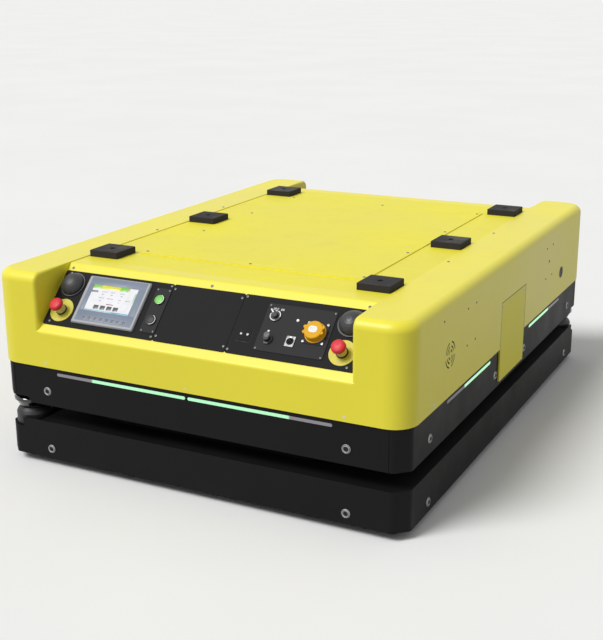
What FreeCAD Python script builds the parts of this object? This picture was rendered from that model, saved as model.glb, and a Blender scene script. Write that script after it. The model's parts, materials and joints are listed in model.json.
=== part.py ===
import FreeCAD, Part
import math
import os

os.makedirs("parts", exist_ok=True)

Vec = FreeCAD.Vector

# Low flat-deck mobile robot: millimetres, +Z up, origin on the floor under the middle of the body.
# The front looks along -Y.

# Overall body
body_width = 1316.0
body_length = 1740.0
ground_clearance = 25.0
skirt_height = 116.0
slot_height = 53.5
band_height = 120.5
cover_height = 277.0
rail_step = 2.5

# Moulded cover
cover_wall = 5.0
cover_corner_radius = 70.0
cover_edge_radius = 28.0
cover_band_gap = 0.5
tower_width = 158.0
tower_edge_radius = 10.0
tower_edge_end_radius = 2.0
slope_foot_drop = 170.0
foot_radius = 12.0
lip_radius = 10.0
slope_angle = 45.0

# Bent sheet: band and skirt
sheet = 3.0
corner_chamfer = 38.0
bend_radius = 22.0
band_seam_inset = 12.0
seam_zone_depth = 60.0
band_overlap = 30.0
band_lip_width = 30.0
corner_seam_gap = 1.0

# Deck and lid
deck_sheet = 3.0
deck_front_margin = 224.0
deck_ledge_width = 20.0
deck_gap = 0.5
lid_sheet = 3.0
lid_pad_gap = 17.0
lid_end_margin = 127.0
lid_bearing = 28.0
lid_end_bearing = 40.0
lid_corner_radius = 8.0

# Load pads
pad_size = 100.0
pad_thickness = 20.0
pad_corner_radius = 3.0
pad_side_margin = 5.0
pad_end_margin = 33.5
pad_hole_radius = 8.5

# Front and rear panels, measured up the slope from its foot
panel_sheet = 3.0
panel_low = 29.0
panel_high = 212.0
panel_side_gap = 4.0
side_panel_width = 380.25
panel_seam_gap = 1.0
panel_corner_radius = 6.0
subplate_sheet = 2.0
subplate_low = 49.0
subplate_high = 193.0
subplate_radius = 3.0

# Operator terminal
hmi_side_inset = 203.0
hmi_s = 122.8
hmi_width = 214.0
hmi_height = 158.0
hmi_bezel = 8.0
hmi_bezel_radius = 5.0
hmi_body_width = 196.0
hmi_body_height = 140.0
hmi_body_depth = 38.0
screen_width = 154.0
screen_height = 86.0
screen_shift_x = -3.0
screen_shift_s = 8.5
screen_recess = 1.4
screen_thickness = 0.8
fit_gap = 0.3

# Emergency stops
estop_side_inset = 46.5
estop_s = 79.0
disc_radius = 37.5
disc_thickness = 1.5
estop_barrel_radius = 11.1
estop_collar_radius = 14.5
estop_collar_height = 21.0
estop_ring_radius = 17.0
estop_ring_height = 3.5
estop_bore_radius = 9.0
estop_stem_gap = 0.06
estop_head_radius = 20.0
estop_head_height = 17.0
estop_travel = 4.5
estop_block = 30.0
estop_block_depth = 42.0
estop_block_overhang = 5.0
estop_bore_floor = 1.0
estop_head_clear = 0.5

# Push buttons
button_seam_inset = 25.75
button_start_s = 154.0
button_reset_s = 88.0
button_plate_width = 50.0
bezel_radius = 15.0
bezel_height = 5.0
cap_radius = 11.4
cap_height = 4.6
cap_proud = 0.6
cap_gap = 0.06
cap_neck_step = 0.4
cap_skirt = 2.0
cap_side = 1.4
cap_flare = 0.8
button_travel = 3.0
button_clear = 0.5
button_block = 28.0
button_block_depth = 40.0

# Antenna domes
dome_side_inset = 46.0
dome_s = 165.0
dome_radius = 40.0
dome_rim_height = 4.0
dome_rim_step = 4.0
dome_height = 31.0
dome_stem_radius = 9.0
dome_stem_depth = 28.0

# Connector plate
connector_side_inset = 196.7
connector_width = 204.0
switch_shift = -71.8
switch_s = 156.5
switch_base_radius = 17.5
switch_base_height = 3.0
switch_body_step = 5.5
switch_knob_radius = 8.5
switch_knob_height = 7.0
switch_lever_reach = 24.0
switch_lever_height = 2.5
switch_lever_width = 3.8
switch_shaft_radius = 4.0
switch_body_depth = 27.0
switch_lever_turn = 45.0
socket_shift = 60.0
socket_s = 121.8
socket_flange = 66.0
socket_flange_sheet = 2.0
socket_neck_radius = 25.0
socket_neck_height = 13.0
socket_body_radius = 27.0
socket_body_depth = 45.0
socket_cap_radius = 30.0
socket_cap_ring = 2.5
socket_cap_taper = 1.2
socket_cap_height = 21.0
socket_cap_top = 4.0
socket_cap_gap = 0.08
socket_lug_radius = 4.5
socket_lug_angles = (-14.0, 20.0, 166.0, 200.0)
data_shift = -3.3
data_s = 87.5
data_width = 26.0
data_height = 31.0
data_depth = 24.0
data_bore_radius = 10.0
data_body_step = 2.3
aux_shift = -68.3
aux_s = 84.0
aux_radius = 13.0
aux_neck_radius = 9.5
aux_height = 17.0
lamp_shift = -2.8
lamp_s = 152.0
lamp_hole_radius = 4.0

# Side hatches
hatch_half_width = 124.0
hatch_low = 210.0
hatch_high = 461.0
hatch_gap = 1.2
hatch_backing = 3.0
hatch_backing_width = 18.0

# Speaker grilles and side port
grille_inset = 291.0
grille_z = 434.7
grille_outer_ring = 35.5
grille_middle_ring = 23.5
grille_inner_ring = 12.5
grille_slot = 4.0
grille_web_angle = 24.0
speaker_depth = 22.0
speaker_flange = 8.0
speaker_flange_sheet = 5.0
speaker_seat = 3.0
speaker_magnet_radius = 20.0
speaker_magnet_height = 8.0
port_inset = 304.0
port_z = 399.0
port_radius = 17.0
port_flange = 1.5
port_flange_step = 3.0
port_barrel_reach = 4.0
port_rim = 5.0

# Light strips
led_height = 9.0
led_z = 297.0
led_depth = 8.0
led_proud = 0.4
led_front_inner = 4.0
led_end_inset = 214.0
led_hatch_gap = 79.0
led_side_inset = 292.0
led_gap = 0.2

# Trim bolts with cup washers
bolt_shank_radius = 4.0
bolt_head_radius = 5.5
bolt_head_height = 3.0
bolt_socket_radius = 3.0
bolt_socket_depth = 2.0
cup_radius = 9.5
cup_height = 3.2
cup_rim = 1.4
bolt_hole_gap = 0.3
band_bolt_z = 239.0
skirt_bolt_z = 56.0
bolt_end_inset = 168.5
bolt_side_inset = 160.5
bolt_hatch_gap = 27.0
lug_width = 60.0
lug_thickness = 4.0

# Recessed wall behind the scanning slot, which also carries the skirt
slot_wall_inset = 90.0
slot_wall_chamfer = 230.0

# Laser scanners
scanner_inset = 62.0
scanner_bay = 132.0
scanner_drop = 30.0
scanner_skirt_reach = 67.0
scanner_rise = 16.0
scanner_notch_reach = 101.0
scanner_notch_radius = 14.0
scanner_body_radius = 54.0
scanner_waist_radius = 42.0
scanner_waist_rise = 50.0
scanner_cap_radius = 58.0
scanner_height = 88.0
scanner_cap_height = 12.0

# Base plate and frame
plate_thickness = 12.0
plate_gap = 0.5
girder_flange_width = 60.0
girder_flange = 10.0
girder_web = 8.0
girder_end_gap = 26.0
girder_hole_radius = 70.0
girder_holes = 5
bulkhead_inset = 20.0
bulkhead_thickness = 8.0
bulkhead_hole_radius = 70.0

# Battery and controls
battery_width = 620.0
battery_length = 520.0
battery_height = 210.0
bay_end_gap = 86.0
battery_cabinet_gap = 80.0
cabinet_width = 600.0
cabinet_height = 240.0

# Drive modules
drive_side_inset = 188.0
drive_wheel_radius = 90.0
drive_wheel_width = 60.0
drive_tread = 14.0
drive_shaft_radius = 12.0
arm_thickness = 24.0
arm_gap = 6.0
arm_pivot_y = 240.0
arm_pivot_z = 130.0
arm_pivot_radius = 12.0
arm_boss_radius = 26.0
pivot_gap = 0.06
ear_thickness = 12.0
motor_radius = 52.0
motor_length = 190.0
gearbox_radius = 62.0
gearbox_length = 60.0
shaft_bore_depth = 30.0
spring_radius = 22.0
spring_bore_radius = 7.0
spring_y = 70.0
spring_seat_z = 140.0

# Castors
castor_pad_inset = 75.0
castor_end_inset = 310.0
castor_wheel_radius = 62.5
castor_wheel_width = 40.0
castor_trail = 38.0
castor_plate_size = 105.0
castor_plate_thickness = 6.0
castor_boss_radius = 30.0
castor_boss_height = 10.0
castor_pin_radius = 8.0
castor_crown_radius = 34.0
castor_crown_height = 8.0
castor_leg = 5.0
castor_leg_gap = 3.0
castor_axle_radius = 6.0
castor_nut_radius = 10.0
castor_nut_height = 7.0
race_gap = 0.3
running_gap = 0.05

# Derived heights
skirt_z0 = ground_clearance
skirt_z1 = skirt_z0 + skirt_height
band_z0 = skirt_z1 + slot_height
cover_z0 = band_z0 + band_height
deck_z = cover_z0 + cover_height
rail_z = deck_z + rail_step
band_z1 = cover_z0 + band_overlap
plate_z0 = band_z0 + sheet
plate_z1 = plate_z0 + plate_thickness
pad_z1 = deck_z + pad_thickness
slope_foot_z = deck_z - slope_foot_drop
half_width = body_width / 2
half_length = body_length / 2
tower_x = half_width - tower_width
band_inset = cover_wall + cover_band_gap
scanner_z0 = skirt_z1 - scanner_drop
sheet_x = half_width - band_inset
sheet_y = half_length - band_inset
scanner_x = sheet_x - scanner_inset
scanner_y = sheet_y - scanner_inset
deck_half_length = half_length - deck_front_margin
pad_x = tower_x - pad_side_margin - pad_size / 2
pad_y = deck_half_length - pad_end_margin - pad_size / 2
lid_half_width = pad_x - pad_size / 2 - lid_pad_gap
lid_half_length = deck_half_length - lid_end_margin
girder_half_length = deck_half_length - girder_end_gap
bulkhead_y = girder_half_length - bulkhead_inset
bay_half_length = bulkhead_y - bulkhead_thickness / 2 - bay_end_gap
battery_y = bay_half_length - battery_length / 2
cabinet_length = 2 * bay_half_length - battery_length - battery_cabinet_gap
cabinet_y = cabinet_length / 2 - bay_half_length
drive_x = half_width - drive_side_inset
castor_x = pad_x - castor_pad_inset
castor_y = half_length - castor_end_inset

# Derived places on the panels and walls
panel_half = tower_x - panel_side_gap
panel_seam_half = panel_half - side_panel_width
hmi_x = hmi_side_inset - panel_half
estop_x = panel_half - estop_side_inset
dome_x = panel_half - dome_side_inset
button_x = -panel_seam_half - button_seam_inset
connector_x = panel_half - connector_side_inset
switch_x = connector_x + switch_shift
socket_x = connector_x + socket_shift
data_x = connector_x + data_shift
aux_x = connector_x + aux_shift
lamp_x = connector_x + lamp_shift
grille_rings = (grille_outer_ring, grille_middle_ring, grille_inner_ring)
grille_y = grille_inset - half_length
port_y = half_length - port_inset
led_front_outer = half_width - led_end_inset
led_side_inner = hatch_half_width + led_hatch_gap
led_side_outer = half_length - led_side_inset
bolt_front_x = sheet_x - bolt_end_inset
bolt_side_y = sheet_y - bolt_side_inset
bolt_hatch_y = hatch_half_width + bolt_hatch_gap
slope_turn = math.radians(slope_angle)
control_back = -cover_wall - 3.0


def save(shape, name):
    """Write one node and report its volume."""
    shape.exportStep("parts/" + name + ".step")
    print(name, "solids", len(shape.Solids), "volume", round(shape.Volume / 1000.0, 1))


def block(x0, x1, y0, y1, z0, z1):
    return Part.makeBox(x1 - x0, y1 - y0, z1 - z0, Vec(x0, y0, z0))


def rod(radius, start, direction, length):
    return Part.makeCylinder(radius, length, start, direction)


def fuse_all(shapes):
    result = shapes[0]
    for shape in shapes[1:]:
        result = result.fuse(shape)
    return result.removeSplitter()


def cut_all(shape, tools):
    for tool in tools:
        shape = shape.cut(tool)
    return shape


def rounded_wire(corners, place):
    """Closed outline through (u, v, radius) corners, mapped into space by place(u, v)."""
    count = len(corners)
    starts = []
    middles = []
    ends = []
    for i in range(count):
        u, v, radius = corners[i]
        before = corners[i - 1]
        after = corners[(i + 1) % count]
        a = Vec(before[0] - u, before[1] - v, 0).normalize()
        b = Vec(after[0] - u, after[1] - v, 0).normalize()
        half = a.getAngle(b) / 2
        reach = radius / math.tan(half) if radius > 0 else 0.0
        p = Vec(u, v, 0)
        starts.append(p + a * reach)
        ends.append(p + b * reach)
        if radius > 0:
            inward = (a + b).normalize()
            middles.append(p + inward * (radius / math.sin(half) - radius))
        else:
            middles.append(None)
    edges = []
    for i in range(count):
        if middles[i] is not None:
            arc = Part.Arc(place(*starts[i][:2]), place(*middles[i][:2]), place(*ends[i][:2]))
            edges.append(arc.toShape())
        j = (i + 1) % count
        if (ends[i] - starts[j]).Length > 1e-6:
            edges.append(Part.makeLine(place(*ends[i][:2]), place(*starts[j][:2])))
    return Part.Wire(edges)


def extrude_profile(corners, place, direction):
    return Part.Face(rounded_wire(corners, place)).extrude(direction)


def rectangle(half_u, half_v, radius, centre=(0.0, 0.0)):
    cu, cv = centre
    return [(cu - half_u, cv - half_v, radius), (cu + half_u, cv - half_v, radius),
            (cu + half_u, cv + half_v, radius), (cu - half_u, cv + half_v, radius)]


def prism(corners, z0, z1):
    """Upright prism over an outline in X and Y."""
    return extrude_profile(corners, lambda u, v: Vec(u, v, z0), Vec(0, 0, z1 - z0))


def revolve_profile(points, origin=Vec(0, 0, 0)):
    """Turn (radius, height) points about an upright axis through origin."""
    wire = Part.makePolygon([Vec(r, 0, h) for r, h in points] + [Vec(points[0][0], 0, points[0][1])])
    shape = Part.Face(wire).revolve(Vec(0, 0, 0), Vec(0, 0, 1), 360)
    shape.translate(origin)
    return shape


def mirror_x(shape):
    return shape.mirror(Vec(0, 0, 0), Vec(1, 0, 0))


def mirror_y(shape):
    return shape.mirror(Vec(0, 0, 0), Vec(0, 1, 0))


def half_turn(shape):
    turned = shape.copy()
    turned.rotate(Vec(0, 0, 0), Vec(0, 0, 1), 180)
    return turned


def on_slope(shape):
    """Place a shape drawn flat (X across, Y up the slope, Z proud of it) on the front slope."""
    placed = shape.copy()
    placed.rotate(Vec(0, 0, 0), Vec(1, 0, 0), slope_angle)
    placed.translate(Vec(0, -half_length, slope_foot_z))
    return placed


def sheet_outline(inset):
    """Plan outline of the bent band and skirt, moved inward by inset."""
    hx = sheet_x - inset
    hy = sheet_y - inset
    leg = corner_chamfer - inset * (2 - math.sqrt(2))
    radius = bend_radius - inset
    if radius < 1.0:
        radius = 1.0
    corners = []
    for sx, sy in ((1, -1), (1, 1), (-1, 1), (-1, -1)):
        along_y = (sx * hx, sy * (hy - leg), radius)
        along_x = (sx * (hx - leg), sy * hy, radius)
        if sx * sy < 0:
            corners += [along_x, along_y]
        else:
            corners += [along_y, along_x]
    return corners


def slot_outline(inset):
    """Plan outline of the recessed slot wall, which runs back towards the corners."""
    hx = sheet_x - slot_wall_inset - inset
    hy = sheet_y - slot_wall_inset - inset
    leg = slot_wall_chamfer - inset * (2 - math.sqrt(2))
    corners = []
    for sx, sy in ((1, -1), (1, 1), (-1, 1), (-1, -1)):
        along_y = (sx * hx, sy * (hy - leg), 0)
        along_x = (sx * (hx - leg), sy * hy, 0)
        if sx * sy < 0:
            corners += [along_x, along_y]
        else:
            corners += [along_y, along_x]
    return corners


def scanner_corners(shape):
    """The scanners sit at the front left and rear right corners: (-X, -Y) and (+X, +Y)."""
    return [shape, half_turn(shape)]


# Trim bolt places: point on the sheet's outer face and the outward direction.
def bolt_places(z, with_hatch):
    hx = sheet_x
    hy = sheet_y
    places = []
    for side in (-1, 1):
        for x in (-bolt_front_x, bolt_front_x):
            places.append((Vec(x, side * hy, z), Vec(0, side, 0)))
        offsets = [-bolt_side_y, bolt_side_y]
        if with_hatch:
            offsets += [-bolt_hatch_y, bolt_hatch_y]
        for y in offsets:
            places.append((Vec(side * hx, y, z), Vec(side, 0, 0)))
    return places


def bolt_holes(places):
    depth = sheet + lug_thickness + 2.0
    radius = bolt_shank_radius + bolt_hole_gap
    return [rod(radius, point + out * 1.0, out * -1.0, depth + 1.0) for point, out in places]


# ---------------------------------------------------------------- moulded cover

def recess_profile(grow, foot_r, lip_r):
    """Side outline of the space above the slopes and deck, grown into the body by grow."""
    shift = grow / math.cos(slope_turn)
    low = slope_foot_z - shift
    level = deck_z - grow
    top_y = half_length - (level - low) / math.tan(slope_turn)
    outside = half_length + 20.0
    above = rail_z + 40.0
    below = low - 30.0
    return [(-outside, below, 0), (-half_length, below, 0), (-half_length, low, foot_r),
            (-top_y, level, lip_r), (top_y, level, lip_r), (half_length, low, foot_r),
            (half_length, below, 0), (outside, below, 0), (outside, above, 0), (-outside, above, 0)]


def recess(grow, foot_r, lip_r):
    reach = tower_x + grow
    return extrude_profile(recess_profile(grow, foot_r, lip_r), lambda u, v: Vec(-reach, u, v),
                           Vec(2 * reach, 0, 0))


def rounding_face(radius, place):
    """Section between a square corner and its rounding, with a margin outside the skin."""
    bulge = radius * (1 - math.sqrt(0.5))
    out = -1.0
    edges = [Part.makeLine(place(out, out), place(radius, out)),
             Part.makeLine(place(radius, out), place(radius, 0.0)),
             Part.Arc(place(radius, 0.0), place(bulge, bulge), place(0.0, radius)).toShape(),
             Part.makeLine(place(0.0, radius), place(out, radius)),
             Part.makeLine(place(out, radius), place(out, out))]
    return Part.Wire(edges)


def tower_rounding():
    """What is taken off one tower's inner edge: up the front, over the top bend, back to the deck."""
    bend_y = -half_length + cover_edge_radius
    bend_z = rail_z - cover_edge_radius
    foot = slope_foot_z - 5.0
    section = rounding_face(tower_edge_radius, lambda a, b: Vec(tower_x + a, b - half_length, foot))
    upright = Part.Face(section).extrude(Vec(0, 0, bend_z - foot))
    rise = 60.0
    slope_side = [(-half_length - 5, slope_foot_z - 5, 0), (-half_length + rise, slope_foot_z + rise, 0),
                  (-half_length + rise, rail_z, 0), (-half_length - 5, rail_z, 0)]
    above_slope = extrude_profile(slope_side, lambda u, v: Vec(tower_x - 5, u, v), Vec(40, 0, 0))
    upright = upright.common(above_slope)
    section = rounding_face(tower_edge_radius, lambda a, b: Vec(tower_x + a, b - half_length, bend_z))
    over = Part.Face(section).revolve(Vec(0, bend_y, bend_z), Vec(1, 0, 0), -90)
    end_y = -half_length + slope_foot_drop - lip_radius
    start = rounding_face(tower_edge_radius, lambda a, b: Vec(tower_x + a, bend_y, rail_z - b))
    end = rounding_face(tower_edge_end_radius, lambda a, b: Vec(tower_x + a, end_y, rail_z - b))
    back = Part.makeLoft([start, end], True, True)
    return [upright, over, back]


def cover_block(inset):
    """Rounded block of the cover's outside, moved inward by inset."""
    outline = rectangle(half_width - inset, half_length - inset, cover_corner_radius - inset)
    low = cover_z0 - (1.0 if inset > 0 else 0.0)
    top = rail_z - inset
    shape = prism(outline, low, top)
    edges = [e for e in shape.Edges if e.BoundBox.ZMin > top - 0.01]
    return shape.makeFillet(cover_edge_radius - inset, edges)


def arc_slot(radius, width, start, span):
    """Flat curved slot with round ends, in X and Y."""
    def at(r, angle):
        return Vec(r * math.cos(angle), r * math.sin(angle), 0)
    inner = radius - width / 2
    outer = radius + width / 2
    middle = start + span / 2
    stop = start + span
    cap = width / 2
    end_tip = at(radius, stop) + at(cap, stop + math.pi / 2)
    start_tip = at(radius, start) + at(cap, start - math.pi / 2)
    edges = [Part.Arc(at(outer, start), at(outer, middle), at(outer, stop)).toShape(),
             Part.Arc(at(outer, stop), end_tip, at(inner, stop)).toShape(),
             Part.Arc(at(inner, stop), at(inner, middle), at(inner, start)).toShape(),
             Part.Arc(at(inner, start), start_tip, at(outer, start)).toShape()]
    return Part.Face(Part.Wire(edges))


def grille_slots():
    """Rings of curved slots through the right side wall, as one list of cutters."""
    cutters = []
    quarter = math.pi / 2
    for ring in grille_rings:
        web = math.radians(grille_web_angle) + grille_slot / ring
        for k in range(4):
            face = arc_slot(ring, grille_slot, k * quarter + web / 2, quarter - web)
            slot = face.extrude(Vec(0, 0, cover_wall + 4.0))
            slot.rotate(Vec(0, 0, 0), Vec(0, 1, 0), 90)
            slot.translate(Vec(half_width - cover_wall - 2.0, grille_y, grille_z))
            cutters.append(slot)
    return cutters


def slope_cutouts():
    """Everything that passes through both the slope and its panel, front face frame."""
    deep = cover_wall * 3
    tools = [prism(rectangle(hmi_body_width / 2 + fit_gap, hmi_body_height / 2 + fit_gap, 0, (hmi_x, hmi_s)),
                   -deep, deep)]
    for side in (-1, 1):
        tools.append(hole_at(side * estop_x, estop_s, estop_barrel_radius, deep))
        tools.append(hole_at(side * dome_x, dome_s, dome_stem_radius, deep))
    for s in (button_start_s, button_reset_s):
        tools.append(hole_at(button_x, s, cap_radius - cap_neck_step, deep))
    tools.append(hole_at(switch_x, switch_s, switch_base_radius - switch_body_step, deep))
    tools.append(hole_at(socket_x, socket_s, socket_body_radius, deep))
    tools.append(hole_at(aux_x, aux_s, aux_neck_radius, deep))
    tools.append(hole_at(lamp_x, lamp_s, lamp_hole_radius, deep))
    tools.append(prism(rectangle(data_width / 2 - 2, data_height / 2 - 2, 0, (data_x, data_s)), -deep, deep))
    return tools


def hole_at(x, s, radius, deep):
    return rod(radius + fit_gap, Vec(x, s, -deep), Vec(0, 0, 1), 2 * deep)


def estop_cutouts():
    return [hole_at(side * estop_x, estop_s, estop_barrel_radius, cover_wall * 3) for side in (-1, 1)]


def make_body_cover():
    """One moulded shell: towers and rails round the deck, slopes at both ends, side windows and grilles."""
    outer = cover_block(0.0).cut(recess(0.0, foot_radius, lip_radius))
    rounding = tower_rounding()
    for shape in rounding:
        for tool in (shape, mirror_x(shape), mirror_y(shape), half_turn(shape)):
            outer = outer.cut(tool)
    inner = cover_block(cover_wall).cut(recess(cover_wall, 0, 0))
    cover = outer.cut(inner)
    opening_x = tower_x - deck_ledge_width
    opening_y = deck_half_length - deck_ledge_width
    under = deck_z - 3 * cover_wall
    cover = cover.cut(block(-opening_x, opening_x, -opening_y, opening_y, under, rail_z + 5))
    seat_z = deck_z - deck_sheet
    cover = cover.cut(block(-tower_x, tower_x, -deck_half_length, deck_half_length, seat_z, rail_z))
    for side in (-1, 1):
        inner_x = half_width - cover_wall
        hx = hatch_half_width + hatch_gap
        x0, x1 = sorted((side * (inner_x - 1), side * (half_width + 1)))
        cover = cover.cut(block(x0, x1, -hx, hx, cover_z0 - 1, hatch_high + hatch_gap))
        backing_low = band_z1 + 1.0
        x0, x1 = sorted((side * (inner_x - hatch_backing), side * inner_x))
        wide = hx + hatch_backing_width
        frame = block(x0, x1, -wide, wide, backing_low, hatch_high + hatch_backing_width)
        clear = hatch_half_width - hatch_backing_width
        window = block(x0 - 1, x1 + 1, -clear, clear, backing_low - 1, hatch_high - hatch_backing_width)
        cover = cover.fuse(frame.cut(window))
        cover = cover.cut(rod(port_radius, Vec(side * (inner_x - 5), port_y, port_z), Vec(side, 0, 0), 20))
    for slot in grille_slots():
        cover = cover.cut(slot)
        cover = cover.cut(mirror_x(slot))
    for tool in slope_cutouts():
        cover = cover.cut(on_slope(tool))
    for tool in estop_cutouts():
        cover = cover.cut(half_turn(on_slope(tool)))
    return cover


# ---------------------------------------------------------------- bent sheets

def sheet_ring(z0, z1):
    """Bent sheet right round the body between two heights."""
    return prism(sheet_outline(0), z0, z1).cut(prism(sheet_outline(sheet), z0 - 1, z1 + 1))


def corner_reliefs():
    """Corners cut off the band's hidden upper rim, clear of the cover's rounding."""
    reach = cover_corner_radius - band_inset + 1.0
    relief = block(sheet_x - reach, half_width, sheet_y - reach, half_length, cover_z0 - fit_gap, band_z1 + 1)
    return [relief, mirror_x(relief), mirror_y(relief), half_turn(relief)]


def make_bands():
    """Upper black band: two flat plates and two sides that wrap round the corners."""
    ring = cut_all(sheet_ring(band_z0, band_z1), corner_reliefs())
    below = band_z0 - 1
    above = band_z0 + 10
    lip = prism(sheet_outline(0.5), band_z0, band_z0 + sheet)
    lip = lip.cut(prism(sheet_outline(sheet + band_lip_width), below, above))
    bay = scanner_bay_block(below, above).common(prism(sheet_outline(sheet), below, above))
    lip = cut_all(lip, scanner_corners(bay))
    ring = ring.fuse(lip).removeSplitter()
    ring = cut_all(ring, bolt_holes(bolt_places(band_bolt_z, True)))
    ring = cut_all(ring, led_shapes(led_gap, 20.0))
    for tool in scanner_corners(scanner_band_notch()):
        ring = ring.cut(tool)
    hx = sheet_x
    hy = sheet_y
    front_half = hx - corner_chamfer - band_seam_inset
    deep = seam_zone_depth
    front_zone = block(-front_half, front_half, -hy - 5, -hy + deep, band_z0 - 5, band_z1 + 5)
    rear_zone = half_turn(front_zone)
    band_front = ring.common(front_zone)
    band_rear = ring.common(rear_zone)
    gap = corner_seam_gap
    wide = block(-front_half - gap, front_half + gap, -hy - 5, -hy + deep + gap, band_z0 - 5, band_z1 + 5)
    rest = ring.cut(wide).cut(half_turn(wide))
    right = block(0, hx + 5, -hy - 5, hy + 5, band_z0 - 5, band_z1 + 5)
    return band_front, band_rear, rest.cut(right), rest.common(right)


def scanner_band_notch():
    """Cut with round shoulders in the band above the front left scanner."""
    hx = sheet_x
    hy = sheet_y
    low = band_z0 - 5
    top = band_z0 + scanner_rise

    def shoulder(edge):
        end = -edge + scanner_notch_reach
        return [(-edge - 10, low, 0), (end, low, 0), (end, top, scanner_notch_radius), (-edge - 10, top, 0)]

    depth = scanner_notch_reach + 10
    front = extrude_profile(shoulder(hx), lambda u, v: Vec(u, -hy - 10, v), Vec(0, depth, 0))
    side = extrude_profile(shoulder(hy), lambda u, v: Vec(-hx - 10, u, v), Vec(depth, 0, 0))
    return front.common(side)


def make_skirt():
    ring = sheet_ring(skirt_z0, skirt_z1)
    ring = cut_all(ring, bolt_holes(bolt_places(skirt_bolt_z, False)))
    hx = sheet_x
    hy = sheet_y
    reach = scanner_skirt_reach
    notch = block(-hx - 10, -hx + reach, -hy - 10, -hy + reach, scanner_z0, skirt_z1 + 5)
    return cut_all(ring, scanner_corners(notch))


def skirt_tabs():
    """Drop tabs behind each skirt bolt, hung from the slot wall's lower shelf."""
    tabs = []
    for point, out in bolt_places(skirt_bolt_z, False):
        tabs.append(lug_behind(point, out, skirt_bolt_z - lug_width / 2, skirt_z1))
    return tabs


def lug_behind(point, out, z0, z1):
    """Flat lug just inside a sheet at a bolt."""
    far = sheet + lug_thickness
    across = Vec(abs(out.y), abs(out.x), 0) * (lug_width / 2)
    a = point - out * sheet - across
    b = point - out * far + across
    return block(min(a.x, b.x), max(a.x, b.x), min(a.y, b.y), max(a.y, b.y), z0, z1)


def scanner_bay_block(z0, z1, grow=0.0):
    hx = sheet_x
    hy = sheet_y
    return block(-hx - 10, -hx + scanner_bay + grow, -hy - 10, -hy + scanner_bay + grow, z0, z1)


def make_slot_wall():
    """Recessed wall, the shelf that closes the skirt and the trays that hold the scanners."""
    inside = prism(slot_outline(sheet), skirt_z0, plate_z1)
    wall = prism(slot_outline(0), skirt_z1 - sheet, plate_z0).cut(inside)
    shelf = prism(sheet_outline(sheet), skirt_z1 - sheet, skirt_z1).cut(inside)
    shelf = cut_all(shelf, scanner_corners(scanner_bay_block(skirt_z0, plate_z1)))
    tray = prism(sheet_outline(sheet + 1.0), scanner_z0 - sheet, skirt_z1)
    tray = tray.common(scanner_bay_block(scanner_z0 - sheet, skirt_z1, sheet))
    tray = tray.cut(scanner_bay_block(scanner_z0, skirt_z1 + 1))
    carrier = fuse_all([wall, shelf] + scanner_corners(tray) + skirt_tabs())
    return cut_all(carrier, bolt_holes(bolt_places(skirt_bolt_z, False)))


# ---------------------------------------------------------------- frame

def make_base_plate():
    plate = prism(sheet_outline(sheet + plate_gap), plate_z0, plate_z1)
    plate = cut_all(plate, scanner_corners(scanner_bay_block(plate_z0 - 1, plate_z1 + 1)))
    lugs = []
    for point, out in bolt_places(band_bolt_z, True):
        lugs.append(lug_behind(point, out, plate_z1 - 1.0, band_bolt_z + lug_width / 2 - 5))
    for sx in (-1, 1):
        for ear in pivot_ears(sx):
            lugs.append(ear)
    plate = fuse_all([plate] + lugs)
    return cut_all(plate, bolt_holes(bolt_places(band_bolt_z, True)))


def make_girder(side):
    """Plate girder under one row of load pads, with lightening holes in its web."""
    x = side * pad_x
    top = deck_z - deck_sheet
    hw = girder_flange_width / 2
    length = girder_half_length
    web = block(x - girder_web / 2, x + girder_web / 2, -length, length, plate_z1, top)
    low = block(x - hw, x + hw, -length, length, plate_z1, plate_z1 + girder_flange)
    high = block(x - hw, x + hw, -length, length, top - girder_flange, top)
    girder = fuse_all([web, low, high])
    pitch = 2 * length / girder_holes
    middle = (plate_z1 + top) / 2
    for k in range(girder_holes):
        y = -length + pitch * (k + 0.5)
        girder = girder.cut(rod(girder_hole_radius, Vec(x - 20, y, middle), Vec(1, 0, 0), 40))
    for y in (-pad_y, 0.0, pad_y):
        girder = girder.cut(rod(pad_hole_radius, Vec(x, y, top - girder_flange - 30), Vec(0, 0, 1), 60))
    return girder


def make_bulkheads():
    """Cross plates between the girders, front and rear, with cable holes."""
    reach = pad_x - girder_web / 2
    plates = []
    for side in (-1, 1):
        y = side * bulkhead_y
        plate = block(-reach, reach, y - bulkhead_thickness / 2, y + bulkhead_thickness / 2, plate_z1,
                      deck_z - deck_sheet - girder_flange)
        low = block(pad_x - girder_flange_width / 2, reach, y - 20, y + 20, plate_z1,
                    plate_z1 + girder_flange)
        plate = plate.cut(low).cut(mirror_x(low))
        for x in (-reach / 2, reach / 2):
            start = Vec(x, y - 20, (plate_z1 + deck_z) / 2)
            plate = plate.cut(rod(bulkhead_hole_radius, start, Vec(0, 1, 0), 40))
        plates.append(plate)
    return Part.makeCompound(plates)


# ---------------------------------------------------------------- deck, lid and pads

def make_deck():
    hx = tower_x - deck_gap
    hy = deck_half_length - deck_gap
    deck = block(-hx, hx, -hy, hy, deck_z - deck_sheet, deck_z)
    lx = lid_half_width - lid_bearing
    ly = lid_half_length - lid_end_bearing
    deck = deck.cut(block(-lx, lx, -ly, ly, deck_z - 10, deck_z + 10))
    for x, y in pad_places():
        deck = deck.cut(rod(pad_hole_radius, Vec(x, y, deck_z - 10), Vec(0, 0, 1), 20))
    return deck


def make_lid():
    return prism(rectangle(lid_half_width, lid_half_length, lid_corner_radius), deck_z, deck_z + lid_sheet)


def pad_places():
    places = []
    for y in (-pad_y, 0.0, pad_y):
        for side in (-1, 1):
            places.append((side * pad_x, y))
    return places


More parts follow.
